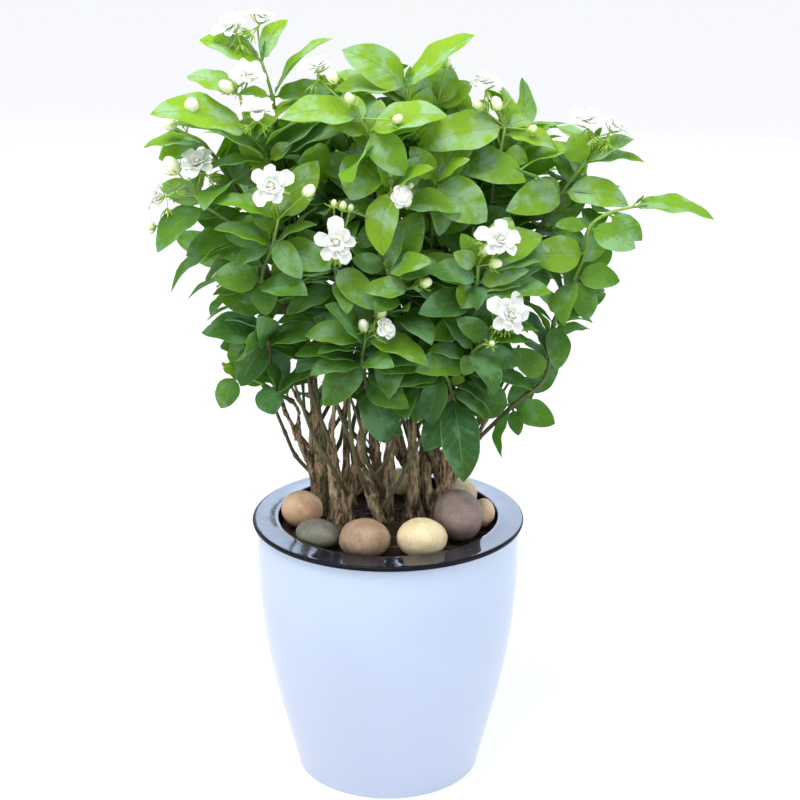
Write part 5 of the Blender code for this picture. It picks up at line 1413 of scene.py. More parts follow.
def formula(tree):
    """The blade's corner as a sum of vectors, from its place along and across the blade."""
    base = tree.read("base", "FLOAT_VECTOR")
    upper = tree.read("upper", "FLOAT_VECTOR")
    chord = tree.read("tip", "FLOAT_VECTOR") - base
    length = tree.vector("LENGTH", chord, output="Value")
    side = tree.vector("NORMALIZE", tree.vector("CROSS_PRODUCT", upper, chord))
    along, across = tree.read("along"), tree.read("across")
    rows = tree.size("rows")
    stalk_row = 1.0 / (rows - 1.0)
    down_the_stalk = (along / stalk_row).maths("MINIMUM", 1.0)
    station = ((along - stalk_row) / (1.0 - stalk_row)).maths("MAXIMUM", 0.0)
    stalk = tree.size("stalk") / length
    share = down_the_stalk * stalk + station * (1.0 - stalk)
    swell, taper = tree.size("swell"), tree.size("taper")
    peak = (swell / (swell + taper)) ** swell * (taper / (swell + taper)) ** taper
    outline = station ** swell * (1.0 - station).maths("MAXIMUM", 0.0) ** taper / peak
    stalk_half = tree.size("stalk_width") * (1.0 - station) ** 4.0
    half = (tree.read("width") * 0.5 * outline).maths("MAXIMUM", stalk_half)
    half = half.maths("MAXIMUM", tree.size("tip_width"))
    arch = tree.read("arch") * length * share * (1.0 - share) * 4.0
    edge = abs(across)
    fold = tree.size("fold") * half * edge ** tree.size("fold_curve")
    waves = tree.size("ripples") * station * (2 * pi) + tree.read("phase") + across * 0.9
    wave = waves.maths("SINE")
    ripple = tree.size("ripple") * half * edge * edge * wave
    droop = (station - CURL_FROM).maths("MAXIMUM", 0.0)
    curl = tree.size("curl") * length * droop * droop * CURL_RISE
    sway = (station * pi).maths("SINE") * tree.read("sway") * length
    return base + chord * share + side * (half * across + sway) + upper * (arch + fold + ripple - curl)


unit_inputs = {"Size X": 1.0, "Size Y": 2.0, "Vertices X": blades.size("rows"),
               "Vertices Y": blades.size("columns")}
unit = blades.node("GeometryNodeMeshGrid", {}, unit_inputs)
unit_place = blades.node("GeometryNodeInputPosition")
unit = blades.stored(unit, "along", unit_place.part("X") + 0.5)
unit = blades.stored(unit, "across", unit_place.part("Y"))
inputs = {"Points": blades.size("Geometry"), "Instance": unit}
planted = blades.node("GeometryNodeInstanceOnPoints", {}, inputs)
planted = blades.node("GeometryNodeRealizeInstances", {}, {"Geometry": planted})
inputs = {"Geometry": planted, "Position": formula(blades)}
blades.hand_over(blades.node("GeometryNodeSetPosition", {}, inputs))
print("blade tree:", len(blades.tree.nodes), "nodes")


# %% Growing a set of blades
TRAITS = ("width", "arch", "phase", "sway", "tone")
POINTERS = ("base", "tip", "upper")


def grown(name, plans, finishes, thickness, **sizes):
    """One object with a blade for every plan. The first finish is the upper side's."""
    mesh = bpy.data.meshes.new(name + "_points")
    mesh.from_pydata([tuple(plan["base"]) for plan in plans], [], [])
    for trait in TRAITS:
        values = [plan.get(trait, 0.0) for plan in plans]
        mesh.attributes.new(trait, "FLOAT", "POINT").data.foreach_set("value", values)
    for pointer in POINTERS:
        values = [number for plan in plans for number in plan[pointer]]
        mesh.attributes.new(pointer, "FLOAT_VECTOR", "POINT").data.foreach_set("vector", values)
    for finish in finishes:
        mesh.materials.append(finish.material)
    bed = shown(name + "_points", mesh)
    blades.run_on(bed, finishes[0], **sizes)
    thick = bed.modifiers.new("thick", "SOLIDIFY")
    thick.thickness = thickness
    thick.offset = -1.0
    thick.material_offset = len(finishes) - 1
    mesh = evaluated(bed)
    for spare in POINTERS + ("phase", "sway", "arch"):
        mesh.attributes.remove(mesh.attributes[spare])
    return finished(name, mesh, finishes, smooth=60.0)


print("ready to grow")

# %% [markdown]
# ## Leaf finishes
#
# A jasmine leaf is glossy and a little quilted above: the midrib and five or six pairs of side
# veins are sunk lines, paler than the blade between them, and the edge is a thin pale line.
# Young leaves are yellow green, old ones deep green, and the underside is paler and matt. All
# of this follows the blade, so the pattern reads the values along and across that each corner
# carries, and tone, which says how young the leaf is and also carries painted light: lighter
# high in the crown, as painted sun, and darker low down and inside, as painted shade. Pale
# blue-green patches on the upper side are painted sheen, a painted reflection of the sky.
#
# Light shines through a thin blade. A Translucent shader is mixed in with a constant share,
# which brightens leaves that are lit from behind.

# %% Leaf finishes
VEIN_PAIRS = 6.0
GLOW_SHARE = 0.45


def leaf_finish(name, tones, rib_colour, glow, roughness, depth):
    leaf = Finish(name, specular_ior_level=0.35)
    along, edge = leaf.value("along"), abs(leaf.value("across"))
    tone = leaf.value("tone")
    cloud = leaf.noise(130.0, 3.0)
    fine = leaf.noise(900.0, 2.0)
    body = leaf.ramp((tone + (cloud - 0.5) * 0.30 + (fine - 0.5) * 0.10).maths("MINIMUM", 1.0), tones)
    slant = (along * VEIN_PAIRS * 1.25 - edge * 1.5 + (cloud - 0.5) * 0.3).maths("FRACT")
    line = abs(slant - 0.5).spread(0.03, 0.10, 1.0, 0.0)
    veins = line * edge.spread(0.75, 1.0, 1.0, 0.0) * along.spread(0.10, 0.16)
    midrib = edge.spread(0.01, 0.06, 1.0, 0.0)
    margin = edge.spread(0.93, 1.0) * 0.8
    quilt = abs(slant - 0.5) * (1.0 - edge)
    # Painted sheen: pale blue-green patches, a painted reflection of the sky, strongest on the lightest
    # leaves.
    painted_sheen = leaf.noise(42.0, 3.0).spread(0.45, 0.62) * tone.spread(0.2, 0.9, 0.45, 0.75)
    sky = leaf.mix(tone.spread(0.3, 0.9), (0.26, 0.50, 0.31), (0.47, 0.70, 0.45))
    cool = leaf.noise(15.0, 1.0).spread(0.47, 0.60, 0.0, 0.55)
    cool = cool * tone.spread(0.35, 0.80, 1.0, 0.0)
    colour = leaf.mix(cool, body, (0.020, 0.120, 0.048))
    colour = leaf.mix(painted_sheen, colour, sky)
    colour = leaf.mix(veins * 0.14, colour, rib_colour)
    colour = leaf.mix(midrib.maths("MAXIMUM", margin) * 0.38, colour, rib_colour)
    leaf.put("Base Color", colour)
    leaf.put("Roughness", cloud.spread(0.35, 0.65, roughness, roughness + 0.2))
    height = quilt * 1.2 - midrib * 0.8 - veins * 0.25 + fine * 0.15
    leaf.bump(height, depth, 0.9)
    leaf.let_through(glow, GLOW_SHARE)
    return leaf


upper_tones = [
    (0.0, (0.010, 0.062, 0.009)), (0.3, (0.034, 0.190, 0.011)),
    (0.6, (0.104, 0.420, 0.012)), (1.0, (0.270, 0.620, 0.012)),
]
under_tones = [
    (0.0, (0.040, 0.100, 0.022)), (0.4, (0.105, 0.240, 0.030)),
    (0.7, (0.200, 0.400, 0.025)), (1.0, (0.340, 0.560, 0.030)),
]
leaf_top = leaf_finish(
    "leaf upper side", upper_tones, rib_colour=(0.36, 0.60, 0.14), glow=(0.46, 0.80, 0.04),
    roughness=0.27, depth=0.0045,
)
leaf_back = leaf_finish(
    "leaf underside", under_tones, rib_colour=(0.42, 0.58, 0.20), glow=(0.36, 0.64, 0.03),
    roughness=0.55, depth=0.0007,
)
print("leaf finishes:", leaf_top.material.name, "and", leaf_back.material.name)

# %% [markdown]
# ## Shoots that nobody can count
#
# Between the old trunks stand thin shoots, and longer ones carry the leaves in the middle and
# at the back of the crown. A rule makes both: each starts on the wood of a packed trunk and
# wanders upwards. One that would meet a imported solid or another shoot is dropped.

# %% Shoots between the trunks and into the crown
SHOOT_TRIES = 700
SHOOT_STEPS = 5
SHOOT_RADII = (0.0021, 0.0012)
LOW_SHOOTS = dict(count=30, lowest=0.262, highest=0.315, step=0.027, lean=(0.8, 0.0), stray=0.26)
HIGH_SHOOTS = dict(count=16, lowest=0.325, highest=0.375, step=0.056, lean=(0.3, 0.35), stray=0.22)


def packed_solids():
    """Search trees for all that new shoots and leaves must stay clear of."""
    trees = []
    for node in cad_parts:
        if node.startswith(("spray_", "bloom_", "trunk_")):
            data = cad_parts[node].data
            corners = [corner.co for corner in data.vertices]
            faces = [tuple(face.vertices) for face in data.polygons]
            trees.append(BVHTree.FromPolygons(corners, faces))
    return trees


def wood_faces(lowest, highest, tries, draw):
    """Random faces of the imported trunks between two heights, as corners and normal."""
    faces, areas = [], []
    for node in trunk_nodes:
        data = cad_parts[node].data
        for face in data.polygons:
            if lowest < face.center.z < highest:
                corners = [data.vertices[corner].co for corner in face.vertices]
                faces.append((corners, face.normal.copy()))
                areas.append(face.area)
    return draw.choices(faces, areas, k=tries)


def shoot_line(base, normal, step, lean, stray, draw):
    outward, back = lean
    way = (normal * outward + Vector((normal.x, back, 0.0)) * back + UP).normalized()
    line = [base - normal * SHOOT_RADII[0]]
    for _ in range(SHOOT_STEPS):
        line.append(line[-1] + way * step)
        turn = Vector((draw.uniform(-1, 1), draw.uniform(-1, 1), 0.0)) * stray
        way = (way + turn + UP * 0.35).normalized()
    return line


def grown_shoots(solids, draw, count, lowest, highest, step, lean, stray):
    chosen = []
    for corners, normal in wood_faces(lowest, highest, SHOOT_TRIES, draw):
        line = shoot_line(sum(corners, Vector()) / len(corners), normal, step, lean, stray, draw)
        tube = BVHTree.FromPolygons(*loft(tube_rings(line[1:], [SHOOT_RADII[0]] * SHOOT_STEPS, 6)))
        if len(chosen) < count and not any(tube.overlap(solid) for solid in solids):
            solids.append(tube)
            chosen.append(line)
    return chosen


solids = packed_solids()
draw = Random("thin shoots")
low_shoots = grown_shoots(solids, draw, **LOW_SHOOTS)
high_shoots = grown_shoots(solids, draw, **HIGH_SHOOTS)
print("shoots:", len(low_shoots), "low,", len(high_shoots), "into the crown")

# %% [markdown]
# ## More leaves inside the crown
#
# The real crown is so dense that its middle is dark with leaves that nobody can count. They
# sit on the shoots, on the woody branches and on the inner side of the leafy stems. Each one
# starts at a random place there and points outwards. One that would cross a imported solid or
# another leaf is dropped, and so is one whose tip leaves the crown's core, so the outline
# stays the survey's.

# %% Inner leaves
INNER_TRIES = 2600
STEM_TRIES = 420
SHOOT_LEAF_TRIES = 200
INNER_LOWEST = 0.325
CORE_MIDDLE = Vector((0.010, 0.020, 0.510))
CORE_REACH = Vector((0.200, 0.138, 0.182))
INNER_LENGTHS = (4.0, 7.0)
INNER_LEAF_LEAN = (0.8, 0.6, 0.15, 0.5)
# Tone age from the crown's core to its edge: deeper leaves are darker, partly older and partly painted
# shade.
INNER_AGE_AND_SHADE = (1.3, 0.2)


def simple_blade(leaf):
    """A leaf as a few corners and faces, for clearance tests."""
    rings = [blade_ring(leaf, station) for station in (0.06, 0.30, 0.55, 0.80)]
    corners = [corner for ring in rings for corner in ring] + [leaf["tip"]]
    faces = [(a, a + 1, a + 4, a + 3) for i in range(3) for a in (3 * i, 3 * i + 1)]
    return corners, faces + [(9, 10, 12), (10, 11, 12)]


def wood_spots(draw):
    """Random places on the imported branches, and the way out of the wood there."""
    for corners, normal in wood_faces(INNER_LOWEST, CORE_MIDDLE.z, INNER_TRIES, draw):
        one, two = sorted((draw.random(), draw.random()))
        yield corners[0] * one + corners[1] * (two - one) + corners[2] * (1 - two), normal


def stem_spots(draw):
    """Random places on the leafy stems, facing sideways or back from the stem."""
    for spray in sprays.values():
        for _ in range(STEM_TRIES):
            joint = draw.randrange(len(spray.stem) - 1)
            base = spray.stem[joint].lerp(spray.stem[joint + 1], draw.random())
            way = Vector((draw.uniform(-1, 1), draw.uniform(0.1, 1), draw.uniform(-0.5, 0.8)))
            yield base, way.normalized()


def shoot_spots(draw):
    """Random places on the upper half of the long shoots, facing any way round them."""
    for line in high_shoots:
        for _ in range(SHOOT_LEAF_TRIES):
            joint = draw.randrange(2, SHOOT_STEPS)
            base = line[joint].lerp(line[joint + 1], draw.random())
            angle = draw.uniform(0, 2 * pi)
            way = Vector((cos(angle), sin(angle), draw.uniform(-0.3, 0.8)))
            yield base, way.normalized()


def inner_leaves():
    draw = Random("inner leaves")
    leaves = []
    for base, normal in [*shoot_spots(draw), *wood_spots(draw), *stem_spots(draw)]:
        outward = (base - CORE_MIDDLE).normalized()
        stray = Vector((draw.uniform(-1, 1), draw.uniform(-1, 1), draw.uniform(-0.6, 0.9)))
        way = blended((normal, outward, UP, stray), INNER_LEAF_LEAN)
        tip = base + way * draw.uniform(*INNER_LENGTHS) * CM
        off = tip - CORE_MIDDLE
        inside = sum((off[i] / CORE_REACH[i]) ** 2 for i in range(3))
        upper = Matrix.Rotation(radians(draw.uniform(-30, 30)), 3, way) @ outward_normal(base, tip)
        leaf = dict(base=base, tip=tip, normal=upper, width=(tip - base).length * LEAF_WIDTH_RATIO)
        if inside > 1.0:
            continue
        blade = BVHTree.FromPolygons(*simple_blade(leaf))
        if any(blade.overlap(solid) for solid in solids):
            continue
        solids.append(blade)
        # The deeper inside the crown, the darker the leaf's tone: partly age, partly painted shade.
        oldest, youngest = INNER_AGE_AND_SHADE
        leaves.append(dict(leaf, age=oldest - (oldest - youngest) * inside))
    return leaves


inner = inner_leaves()
print("inner leaves:", len(inner))

# %% [markdown]
# Each leaf now gets the traits that the blade tree reads. The tone follows the way a shrub
# grows, with painted light on top: the youngest leaves at the tips are yellow green and old ones
# dark, the highest leaves are made lighter and yellower, partly young growth and partly painted
# sun, and those that are low or inside are made darker, partly age and partly painted shade.
# The tips also carry a pair of tiny new leaves.

# %% Leaf traits and growing
LEAF_THICKNESS = 0.00045
# one row fewer than the other leaves, which keeps the piece under 200,000 triangles
INNER_ROWS = 13
YOUNG_LENGTHS = (1.1, 2.0)
YOUNG_WIDTH_RATIO = 0.38
# Painted light on the leaves: tone rises with height over SHADE_HEIGHT, as painted sun, and falls with
# age, which inside the crown is partly painted shade.
SHADE_HEIGHT, SHADE_TO_SUN = 0.36, 0.30
TONE, TONE_SUN, TONE_AGE, TONE_STRAY = 0.55, 0.60, 0.36, 0.20
DARKEST_TONE = 0.05
FULL_TURN = 6.28


def leaf_plan(leaf, draw, age):
    """A leaf for the blade tree, with a tone that follows its age, and lighter with height as painted
    sunlight.
    """
    high = min(max((leaf["tip"].z - SHADE_HEIGHT) / SHADE_TO_SUN, 0.0), 1.0)
    tone = TONE + TONE_SUN * high * high - TONE_AGE * age * (1.0 - 0.7 * high)
    tone += draw.uniform(-TONE_STRAY, TONE_STRAY)
    return dict(
        base=leaf["base"], tip=leaf["tip"], upper=leaf["normal"], width=leaf["width"],
        arch=LEAF_ARCH + draw.uniform(-0.02, 0.02), phase=draw.uniform(0.0, FULL_TURN),
        sway=draw.uniform(-0.045, 0.045), tone=min(max(tone, DARKEST_TONE), 1.0),
    )


def young_leaves(spray, draw):
    """A pair of tiny leaves that open at each growing tip."""
    for line in [spray.stem, *spray.twigs]:
        end = line[-1]
        along = (line[-1] - line[-2]).normalized()
        side = Matrix.Rotation(draw.uniform(0, 3.14), 3, along) @ along.orthogonal().normalized()
        for hand in (1, -1):
            way = (along + side * (0.45 * hand) + UP * 0.2).normalized()
            tip = end + way * draw.uniform(*YOUNG_LENGTHS) * CM
            normal = (along - way * along.dot(way)).normalized()
            width = (tip - end).length * YOUNG_WIDTH_RATIO
            tone = draw.uniform(0.75, 1.0)
            yield dict(base=end, tip=tip, upper=normal, width=width, arch=-0.05, tone=tone)


def leafy(spray):
    draw = Random(spray.name)
    plans = [leaf_plan(leaf, draw, leaf["age"]) for leaf in spray.leaves]
    plans += young_leaves(spray, draw)
    piece = grown(spray.name + "_leaves", plans, [leaf_top, leaf_back], LEAF_THICKNESS)
    return dressed(piece, "foliage", spray.name)


leaf_pieces = [leafy(spray) for spray in sprays.values()]
draw = Random("inner tones")
inner_plans = [leaf_plan(leaf, draw, leaf["age"]) for leaf in inner]
leaf_sides = [leaf_top, leaf_back]
inner_piece = grown("inner_leaves", inner_plans, leaf_sides, LEAF_THICKNESS, rows=INNER_ROWS)
dressed(inner_piece, "foliage", *trunk_nodes)
print("leaf faces:", sum(len(piece.data.polygons) for piece in [*leaf_pieces, inner_piece]))

# %% [markdown]
# ## Green stems
#
# Young stems are smooth and green, thicken a little where a pair of leaves sits, and turn
# brown towards the wood. Each is a loft of round rings along a smooth line through its
# joints. It starts a little way down inside the woody branch, so no gap shows. Every ring
# carries age, from 0 at the tip to 1 at the wood, for the finish to read.

# %% Stem finish and stems
STEM_SIDES = 9
STEM_STEPS = 8
INTO_THE_WOOD = 0.004
NODE_SWELL = 0.35
NODE_LENGTH = 0.0022
TWIG_AGE, STALK_AGE = 0.3, 0.05
STALK_STEPS = 5
SHOOT_AGES = (1.0, 0.7)
SHOOT_SIDE_STEPS = 6

green_stem = Finish("green stem", specular_ior_level=0.4)
stem_cloud = green_stem.noise(160.0, 3.0)
stem_colours = [
    (0.0, (0.27, 0.42, 0.06)), (0.35, (0.14, 0.27, 0.035)),
    (0.7, (0.085, 0.125, 0.032)), (1.0, (0.105, 0.082, 0.040)),
]
stem_age = green_stem.value("age") + (stem_cloud - 0.5) * 0.4
green_stem.put("Base Color", green_stem.ramp(stem_age.maths("MAXIMUM", 0.0), stem_colours))
green_stem.put("Roughness", stem_cloud.spread(0.3, 0.7, 0.4, 0.6))
green_stem.bump(green_stem.noise(700.0, stretch=(1.0, 1.0, 0.3)), 0.0003, 0.6)


def add_stem(clay, points, radii, ages, steps=STEM_STEPS, swell=NODE_SWELL):
    line = flowing(points, steps)
    wide, old = [], []
    for i in range(len(line)):
        place = i / steps
        joint = min(int(place), len(points) - 2)
        share = place - joint
        near = min(share, 1.0 - share) * (points[joint + 1] - points[joint]).length
        knuckle = 1.0 + swell * exp(-(near / NODE_LENGTH) ** 2) * (0 < place < len(points) - 1)
        wide.append((radii[joint] + (radii[joint + 1] - radii[joint]) * share) * knuckle)
        old.append(ages[joint] + (ages[joint + 1] - ages[joint]) * share)
    tip_way = (line[-1] - line[-2]).normalized() * wide[-1]
    line.append(line[-1] + tip_way * 0.6)
    wide.append(wide[-1] * 0.5)
    old.append(old[-1])
    corners, faces = loft(tube_rings(line, wide, STEM_SIDES))
    clay.add(corners, faces, age=[value for value in old for _ in range(STEM_SIDES)])


def stemmed(spray):
    clay = Clay()
    count = len(spray.stem)
    down = (spray.stem[0] - spray.stem[1]).normalized() * INTO_THE_WOOD
    radii = [STEM_RADII[0], *evenly(*STEM_RADII, count)]
    add_stem(clay, [spray.stem[0] + down, *spray.stem], radii, [1.0, *evenly(1.0, 0.0, count)])
    for twig in spray.twigs:
        add_stem(clay, list(twig), [STEM_RADII[1]] * len(twig), [TWIG_AGE] * len(twig))
    for stalk in spray.stalks:
        radii, ages = [STALK_RADIUS] * len(stalk), [STALK_AGE] * len(stalk)
        add_stem(clay, stalk, radii, ages, STALK_STEPS, swell=0.0)
    return dressed(clay.fired(spray.name + "_stems", green_stem), "foliage", spray.name)


stem_pieces = [stemmed(spray) for spray in sprays.values()]
shoots = Clay()
for line in low_shoots + high_shoots:
    radii, ages = evenly(*SHOOT_RADII, len(line)), evenly(*SHOOT_AGES, len(line))
    add_stem(shoots, line, radii, ages, SHOOT_SIDE_STEPS)
stem_pieces.append(dressed(shoots.fired("thin_shoots", green_stem), "bark", *trunk_nodes))
print("stem faces:", sum(len(piece.data.polygons) for piece in stem_pieces))

# %% [markdown]
# ## Buds
#
# A bud is a tight spiral of petals: an egg with a blunt point and five shallow ridges that
# wind round it. It is a loft of rings whose radius rises and falls with the angle. Small buds
# and the foot of large ones are tinged green. The two largest are half open: they get a
# smaller egg here, and petals round it later.

# %% Buds
BUD_SIDES = 20
BUD_RINGS = 14
BUD_STRETCH = 1.25
BUD_TAPER = 0.22
BUD_RIDGES = 5
BUD_TWIST = 2.6
SMALL_BUD, SMALL_BUD_GREEN = 0.0055, 0.35
HALF_OPEN = 0.0085
HALF_OPEN_CORE = 0.62

petal_bud = Finish("closed petals", specular_ior_level=0.35, roughness=0.45)
bud_cloud = petal_bud.noise(300.0, 2.0)
bud_colours = [(0.0, (0.42, 0.55, 0.16)), (0.3, (0.74, 0.80, 0.45)), (0.75, (0.90, 0.91, 0.74))]
bud_height = petal_bud.value("up") + (bud_cloud - 0.5) * 0.2
petal_bud.put("Base Color", petal_bud.ramp(bud_height, bud_colours))
petal_bud.bump(bud_cloud, 0.0003, 0.4)


def add_bud(clay, bud, green=None):
    turn = UP.rotation_difference(bud["way"]).to_matrix()
    if green is None:
        green = 0.0 if bud["radius"] > SMALL_BUD else SMALL_BUD_GREEN
    rings, ups = [], []
    for i in range(BUD_RINGS):
        t = (i + 0.25) / (BUD_RINGS - 0.5)
        height = -cos(pi * t) * BUD_STRETCH
        wide = sin(pi * t) ** 0.85 * (1.0 - BUD_TAPER * t)
        ring = []
        for angle in round_turn(BUD_SIDES):
            ridge = abs(sin(angle * BUD_RIDGES / 2 + t * BUD_TWIST))
            reach = wide * (0.90 + 0.13 * ridge * (0.4 + t))
            point = Vector((cos(angle) * reach, sin(angle) * reach, height))
            ring.append(bud["centre"] + turn @ (point * bud["radius"]))
        rings.append(ring)
        ups += [t - green] * BUD_SIDES
    clay.add(*loft(rings), up=ups)


bud_pieces = []
for spray in sprays.values():
    if spray.buds:
        clay = Clay()
        for bud in spray.buds:
            opening = bud["radius"] > HALF_OPEN
            add_bud(clay, dict(bud, radius=bud["radius"] * (HALF_OPEN_CORE if opening else 1.0)))
        piece = clay.fired(spray.name + "_buds", petal_bud, smooth=70.0)
        bud_pieces.append(dressed(piece, "petals", spray.name))
print("bud faces:", sum(len(piece.data.polygons) for piece in bud_pieces))

# %% [markdown]
# ## Calyx lobes
#
# Under every flower and bud sits a calyx: eight thin, pointed, yellow-green lobes that spread
# like fingers. They are blades again, narrow and almost without a stalk. A spoke says where a
# lobe points, and later where a petal does.

# %% Calyx lobes and tubes
CALYX_LOBES = 8
CALYX_RISE = 42.0
CALYX_LENGTH = 0.0115
LOBE_WIDTH = 0.0014
LOBE_LENGTHS = (0.75, 1.15)
LOBE_LEAN = 14
LOBE_TONE = 0.8
BLADE_THICKNESS = 0.0004

calyx_green = Finish("calyx green", specular_ior_level=0.3, roughness=0.5)
calyx_cloud = calyx_green.noise(220.0, 2.0)
calyx_colour = calyx_green.mix(calyx_cloud.spread(0.3, 0.7), (0.26, 0.46, 0.05), (0.42, 0.60, 0.12))
calyx_green.put("Base Color", calyx_colour)


def spoke(facing, turn, rise):
    """A blade set round a point, by its share of a turn and its rise in degrees: the way out,
    the way along the blade, and its upper side."""
    angle, lift = 2 * pi * turn, radians(rise)
    across = facing.orthogonal().normalized()
    out = across * cos(angle) + facing.cross(across) * sin(angle)
    along = out * cos(lift) + facing * sin(lift)
    return out, along, facing * cos(lift) - out * sin(lift)


def lobes(foot, facing, length, rise, draw, start=0.0):
    for k in range(CALYX_LOBES):
        turn = (k + draw.uniform(-0.2, 0.2)) / CALYX_LOBES
        out, along, upper = spoke(facing, turn, rise - draw.uniform(-LOBE_LEAN, LOBE_LEAN))
        base = foot + out * start
        tip = base + along * (length * draw.uniform(*LOBE_LENGTHS))
        yield dict(base=base, tip=tip, upper=upper, width=LOBE_WIDTH, arch=-0.10, tone=LOBE_TONE)


def calyx(name, plans, *nodes):
    sizes = dict(rows=6, columns=3, stalk=0.0005, stalk_width=0.0006, swell=0.4, taper=0.7, ripple=0.0)
    return dressed(grown(name, plans, [calyx_green], BLADE_THICKNESS, **sizes), "foliage", *nodes)


calyx_pieces = []
for spray in sprays.values():
    draw = Random(spray.name + " calyx")
    plans = []
    for bud in spray.buds:
        foot = bud["centre"] - bud["way"] * bud["radius"] * 1.1
        length = 0.006 + bud["radius"] * 0.6
        plans += lobes(foot, bud["way"], length, CALYX_RISE, draw, bud["radius"] * 0.25)
    if plans:
        calyx_pieces.append(calyx(spray.name + "_calyx", plans, spray.name))
print("calyx pieces on stems:", len(calyx_pieces))

# %% [markdown]
# ## Open flowers
#
# The double jasmine has rows of blunt, waxy petals, each row shorter and steeper than the one
# below, round a creamy heart. The blade tree grows them too: a full outline, a soft cup across
# and a tip that rolls back in the outer rows and stands in the inner ones. Beside a flower
# stand the empty calyxes of those that opened before it and dropped.

# %% Petal finish
white_petal = Finish("white petal", specular_ior_level=0.3)
petal_along, petal_edge = white_petal.value("along"), abs(white_petal.value("across"))
petal_lines = white_petal.noise(260.0, 3.0)
petal_colour = white_petal.mix(petal_along.spread(0.05, 0.5), (0.90, 0.92, 0.74), (0.97, 0.97, 0.96))
heart = white_petal.value("tone")
petal_colour = white_petal.mix(heart * 0.55, petal_colour, (0.90, 0.88, 0.62))
faint_lines = petal_lines.spread(0.35, 0.7, 0.05, 0.0)
petal_colour = white_petal.mix(faint_lines, petal_colour, (0.72, 0.76, 0.66))
white_petal.put("Base Color", petal_colour)
white_petal.put("Roughness", petal_lines.spread(0.3, 0.7, 0.45, 0.6))
white_petal.bump(petal_lines + petal_edge * 0.5, 0.0004, 0.5)
white_petal.let_through((0.96, 0.97, 0.93), 0.4)
print("petal finish ready")

# %% Flowers
# Rows of petals: how many, length in flower radii, rise in degrees, width in lengths, turn,
# then the root's height over the tube's top and its distance from the middle in mm, the arch
# and the heart's tint
PETAL_ROWS = (
    (5, 1.20, 10, 0.66, 0.0, -1.4, 1.4, 0.06, 0.0),
    (5, 0.84, 27, 0.74, 0.4, -0.9, 1.1, 0.00, 0.0),
    (4, 0.62, 44, 0.86, 0.1, -0.5, 0.9, -0.05, 0.05),
    (4, 0.46, 58, 0.92, 0.6, -0.2, 0.6, -0.10, 0.15),
    (3, 0.34, 73, 1.00, 0.3, 0.0, 0.3, -0.14, 0.3),
)
PETAL_LEAN, PETAL_ROLL = 9, 22
PETAL_LENGTHS = (0.74, 1.05)
TUBE_RADII = (0.0011, 0.0014, 0.0030)
TUBE_SIDES = 12
HEART_RADIUS = 0.0024
PETAL_SHAPE = dict(
    rows=10, columns=5, stalk=0.0004, stalk_width=0.0009, swell=0.55, taper=0.28, fold=0.30,
    fold_curve=2.0, ripple=0.07, ripples=1.6, curl=0.10, tip_width=0.0009,
)


def petals(bloom, draw):
    facing = bloom["facing"]
    top = bloom["foot"] + facing * BLOOM_TUBE
    for count, size, rise, width, shift, height, offset, arch, heart in PETAL_ROWS:
        for k in range(count):
            turn = (k + shift + draw.uniform(-0.2, 0.2)) / count
            lean = draw.uniform(-PETAL_LEAN, PETAL_LEAN)
            out, along, upper = spoke(facing, turn, rise + lean)
            roll = radians(draw.uniform(-PETAL_ROLL, PETAL_ROLL))
            upper = Matrix.Rotation(roll, 3, along) @ upper
            length = bloom["radius"] * size * draw.uniform(*PETAL_LENGTHS)
            base = top + (facing * height + out * offset) * MM
            yield dict(
                base=base, tip=base + along * length, upper=upper, width=length * width,
                arch=arch, phase=draw.uniform(0, FULL_TURN), sway=draw.uniform(-0.05, 0.05),
                tone=heart,
            )


# Calyxes on short stalks beside a flower, whose own flowers have dropped
SPENT_CALYXES = 3
SPENT_STALKS = (0.009, 0.014)
SPENT_STALK_WIDTH = 0.0020
SPENT_RISE = 51.6
SPENT_LENGTH = 0.010


def spent_calyxes(bloom, draw):
    facing = bloom["facing"]
    for _ in range(SPENT_CALYXES):
        turn = Matrix.Rotation(draw.uniform(0, 2 * pi), 3, facing)
        side = turn @ facing.orthogonal().normalized()
        way = (side - facing * draw.uniform(0.1, 0.6) - UP * 0.5).normalized()
        base = bloom["foot"] - facing * 0.0006
        top = base + way * draw.uniform(*SPENT_STALKS)
        stalk = dict(base=base, tip=top, upper=facing, width=SPENT_STALK_WIDTH)
        yield dict(stalk, arch=-0.04, tone=LOBE_TONE)
        yield from lobes(top - way * 0.0006, way, SPENT_LENGTH, SPENT_RISE, draw)


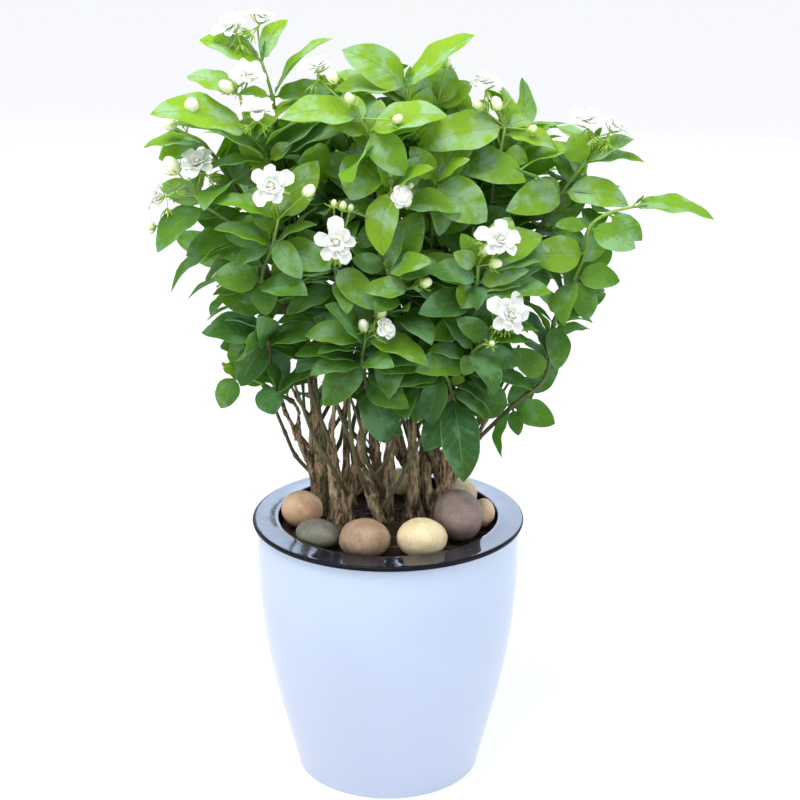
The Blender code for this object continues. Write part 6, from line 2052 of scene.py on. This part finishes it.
def flowered(name, bloom):
    draw = Random(name)
    plans = list(petals(bloom, draw))
    piece = grown(name + "_petals", plans, [white_petal], BLADE_THICKNESS, **PETAL_SHAPE)
    dressed(piece, "petals", name)
    facing = bloom["facing"]
    clay = Clay()
    points = [bloom["foot"] + facing * (BLOOM_TUBE * share) for share in (-0.04, 0.5, 0.96)]
    corners, faces = loft(tube_rings(points, TUBE_RADII, TUBE_SIDES))
    clay.add(corners, faces, up=[0.1] * TUBE_SIDES + [0.35] * TUBE_SIDES + [0.7] * TUBE_SIDES)
    heart = bloom["foot"] + facing * (BLOOM_TUBE + HEART_RADIUS)
    add_bud(clay, dict(centre=heart, way=facing, radius=HEART_RADIUS), 0.0)
    dressed(clay.fired(name + "_tube", petal_bud), "petals", name)
    foot = bloom["foot"] + facing * 0.0008
    plans = list(lobes(foot, facing, CALYX_LENGTH, CALYX_RISE, draw, 0.0008))
    plans += spent_calyxes(bloom, draw)
    calyx(name + "_calyx", plans, name)
    return piece


# Petals at the mouth of a half-open bud: steepness, length in bud radii and count
OPENING_ROWS = ((12.0, 1.12, 6), (32.0, 0.96, 5), (52.0, 0.74, 4), (68.0, 0.52, 3))


def opening_petals(bud, draw):
    foot = bud["centre"] + bud["way"] * bud["radius"] * 0.25
    for rise, size, count in OPENING_ROWS:
        length = bud["radius"] * size
        for k in range(count):
            turn = (k + rise / 30.0 + draw.uniform(-0.1, 0.1)) / count
            _, along, upper = spoke(bud["way"], turn, rise + draw.uniform(-6, 6))
            tip = foot + along * length
            yield dict(base=foot, tip=tip, upper=upper, width=length * 0.8, arch=-0.04, tone=0.1)


flower_pieces = [flowered(name, bloom) for name, bloom in blooms.items()]
for spray in sprays.values():
    draw = Random(spray.name + " opening")
    plans = []
    for bud in spray.buds:
        if bud["radius"] > HALF_OPEN:
            plans += opening_petals(bud, draw)
    if plans:
        piece = grown(spray.name + "_opening", plans, [white_petal], BLADE_THICKNESS, **PETAL_SHAPE)
        dressed(piece, "petals", spray.name)
print("flowers:", len(flower_pieces), "with", len(flower_pieces[0].data.polygons), "faces each")
